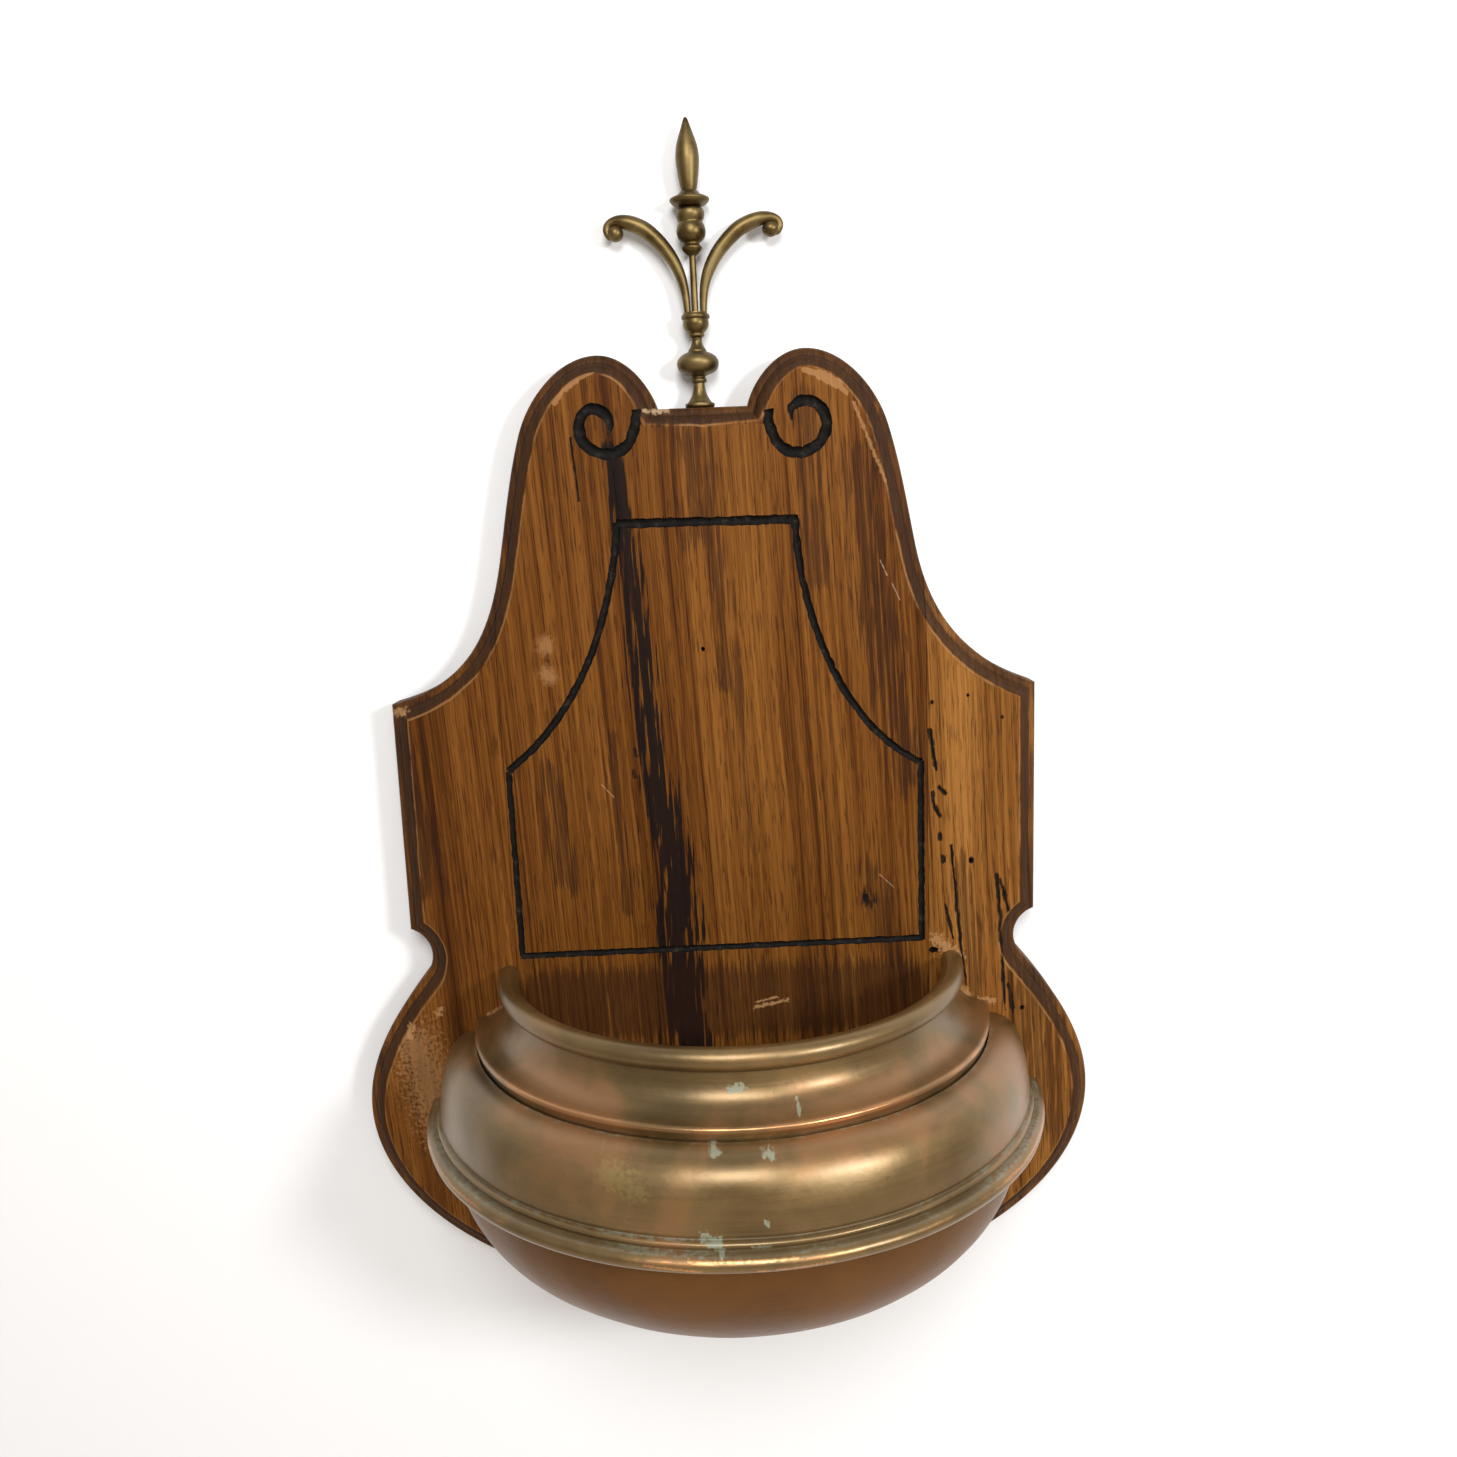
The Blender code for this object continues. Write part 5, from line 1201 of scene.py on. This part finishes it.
rod_bm = spun([(0, -16 * MM), (1.95 * MM, -16 * MM), (1.95 * MM, 132.7 * MM), (0, 132.7 * MM)], 24)
finish_piece("brass_rod", leaning(rod_bm), [BRASS], "font", ["finial_rod"])

# %% The scroll arms
ARM = [(4.6, 54.7, 1.9), (4.9, 61.5, 2.2), (6, 70, 2.7), (8.4, 78, 3.3), (12.6, 86.4, 3.8),
       (18.4, 94.2, 4.2), (25.4, 101, 4.5),
       (31.6, 104.6, 4.5), (38, 106.8, 4.1), (43.4, 107.4, 3.1), (47.6, 105.8, 2.4), (49.0, 102.4, 2.2),
       (47.2, 99.0, 2.1), (44.4, 100.0, 2.1)]


def scroll_arm(name, side, node):
    line = [tuple(p) for p in smooth_line(ARM, 6)]
    arm = tube([(side * x * MM, 0, z * MM) for x, z, _ in line], [r * MM for _, _, r in line], sides=7)
    ball = bmesh.new()
    bmesh.ops.create_uvsphere(ball, u_segments=28, v_segments=16, radius=4.7 * MM)
    bmesh.ops.translate(ball, verts=ball.verts, vec=(side * 44 * MM, 0, 100.7 * MM))
    stock = bpy.data.meshes.new("arm")
    arm.to_mesh(stock)
    arm.free()
    knob = bpy.data.meshes.new("ball")
    ball.to_mesh(knob)
    ball.free()
    pair = [bpy.data.objects.new("arm", stock), bpy.data.objects.new("ball", knob)]
    for one in pair:
        scene.collection.objects.link(one)
    weld = pair[0].modifiers.new("weld", "BOOLEAN")
    weld.operation = "UNION"
    weld.solver = "EXACT"
    weld.object = pair[1]
    mesh = bpy.data.meshes.new_from_object(pair[0].evaluated_get(bpy.context.evaluated_depsgraph_get()))
    for one in pair:
        bpy.data.objects.remove(one, do_unlink=True)
    bm = bmesh.new()
    bm.from_mesh(mesh)
    if side > 0:
        for v in bm.verts:
            v.co.x *= 1.05
            v.co.z -= 0.035 * (v.co.z - 54.7 * MM)
    finish_piece(name, leaning(bm), [BRASS], "font", [node], sharp=40)


scroll_arm("brass_arm_left", -1, "scroll_arm_left")
scroll_arm("brass_arm_right", 1, "scroll_arm_right")

# %% [markdown]
# ## What the CAD already has right
# Battens, pegs, tabs, plates and screws are plain shapes and stay as they are, with their own finishes.

# %% Finishes for the plain pieces
OAK = walnut("oak batten", 1.9, [(0.30, (0.110, 0.070, 0.036)), (0.46, (0.200, 0.132, 0.070)),
                                 (0.60, (0.270, 0.185, 0.105)),
                                 (0.72, (0.330, 0.235, 0.140))], [], [], [(0, -118, 0, -118, 0.1, 0.1, 0)])
BEECH = walnut("beech peg", 2.7, [(0.30, (0.42, 0.29, 0.17)), (0.70, (0.60, 0.44, 0.28))], [], [],
               [(0, 400, 0, 400, 0.1, 0.1, 0)])
PLAIN = {"dowel": BEECH, "hanger_plate": IRON, "hanger_screw": SCREW_BRASS, "tab_screw": SCREW_BRASS,
         "fixing_tab": COPPER,
         "rim_wire": IRON, "finial_insert": SCREW_BRASS}
dressed = 0
for name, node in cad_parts.items():
    if node.hide_render:
        continue
    finish = next((m for start, m in PLAIN.items() if name.startswith(start)), None)
    if name.endswith("_batten"):
        finish = OAK
    elif "batten_screw" in name:
        finish = IRON
    node.data.materials.clear()
    node.data.materials.append(finish)
    dressed += 1
print("plain pieces dressed:", dressed)

# %% [markdown]
# ## The studio
# The font hangs on a pale wall over a pale floor, under a large soft light above the viewer, a smaller one
# from the right that throws the shadow, and a bright even sky. The wall and floor are seen from the front
# only, and the wall is open behind the board, so that the back of the board can be looked at.

# %% Wall and floor
def one_sided(name, colour):
    made, tree, shader, spot = new_material(name)
    shader.inputs["Base Color"].default_value = (*colour, 1)
    shader.inputs["Roughness"].default_value = 0.9
    clear = tree.nodes.new("ShaderNodeBsdfTransparent")
    back = add(tree, "ShaderNodeNewGeometry").outputs["Backfacing"]
    mix = tree.nodes.new("ShaderNodeMixShader")
    tree.links.new(back, mix.inputs[0])
    tree.links.new(shader.outputs[0], mix.inputs[1])
    tree.links.new(clear.outputs[0], mix.inputs[2])
    out = next(n for n in tree.nodes if n.type == "OUTPUT_MATERIAL")
    tree.links.new(mix.outputs[0], out.inputs["Surface"])
    return made


def sheet_piece(name, corners, finish, opening=()):
    """A flat sheet, with an opening in it if one is given."""
    bm = bmesh.new()
    for loop in (corners, opening):
        points = [bm.verts.new(c) for c in loop]
        for pair in zip(points, points[1:] + points[:1]):
            bm.edges.new(pair)
    bmesh.ops.triangle_fill(bm, edges=bm.edges[:], use_beauty=True)
    up = Vector((0, -1, 0)) if opening else Vector((0, 0, 1))
    bm.normal_update()
    bmesh.ops.reverse_faces(bm, faces=[f for f in bm.faces if f.normal.dot(up) < 0])
    mesh = bpy.data.meshes.new(name)
    bm.to_mesh(mesh)
    bm.free()
    mesh.materials.append(finish)
    piece = bpy.data.objects.new(name, mesh)
    scene.collection.objects.link(piece)
    return piece


FLOOR_Z = -0.75
behind = [(0.92 * x, 0.0006, 0.06 + 0.92 * (z - 0.06)) for x, z in OUTLINE[::4]]
sheet_piece("wall", [(-4, 0.0006, FLOOR_Z), (4, 0.0006, FLOOR_Z), (4, 0.0006, 4), (-4, 0.0006, 4)],
            one_sided("wall paint", (0.78, 0.80, 0.83)), behind)
sheet_piece("floor", [(-4, -6, FLOOR_Z), (4, -6, FLOOR_Z), (4, 6, FLOOR_Z), (-4, 6, FLOOR_Z)],
            one_sided("floor", (0.72, 0.64, 0.56)))

# %% Light
scene.view_settings.view_transform = "Standard"


def soft_light(name, place, aim, size, power, colour=(1, 1, 1)):
    lamp = bpy.data.lights.new(name, "AREA")
    lamp.shape = "DISK"
    lamp.size = size
    lamp.energy = power
    lamp.color = colour
    stand = bpy.data.objects.new(name, lamp)
    scene.collection.objects.link(stand)
    stand.location = place
    stand.rotation_euler = (Vector(aim) - Vector(place)).to_track_quat("-Z", "Y").to_euler()
    return stand


soft_light("key", (-0.02, -1.45, 1.05), (0, -0.05, 0.0), 0.75, 22, (1.0, 0.97, 0.93))
soft_light("side", (1.15, -1.35, 0.62), (0, -0.02, 0.1), 0.34, 20, (1.0, 0.98, 0.95))
sky = bpy.data.worlds.new("sky")
scene.world = sky
sky.use_nodes = True
tree = sky.node_tree
tree.nodes.clear()
way = add(tree, "ShaderNodeSeparateXYZ",
          {0: add(tree, "ShaderNodeTexCoord").outputs["Generated"]}).outputs[2]
shade = ramp(tree, plus(tree, times(tree, way, 0.5), 0.5),
             [(0.0, (0.20, 0.15, 0.11)), (0.45, (0.42, 0.36, 0.30)), (0.6, (0.78, 0.77, 0.76)),
              (1.0, (1.0, 1.0, 1.0))])
air = add(tree, "ShaderNodeBackground", {"Color": shade, "Strength": 0.64})
tree.links.new(air.outputs[0], add(tree, "ShaderNodeOutputWorld").inputs["Surface"])
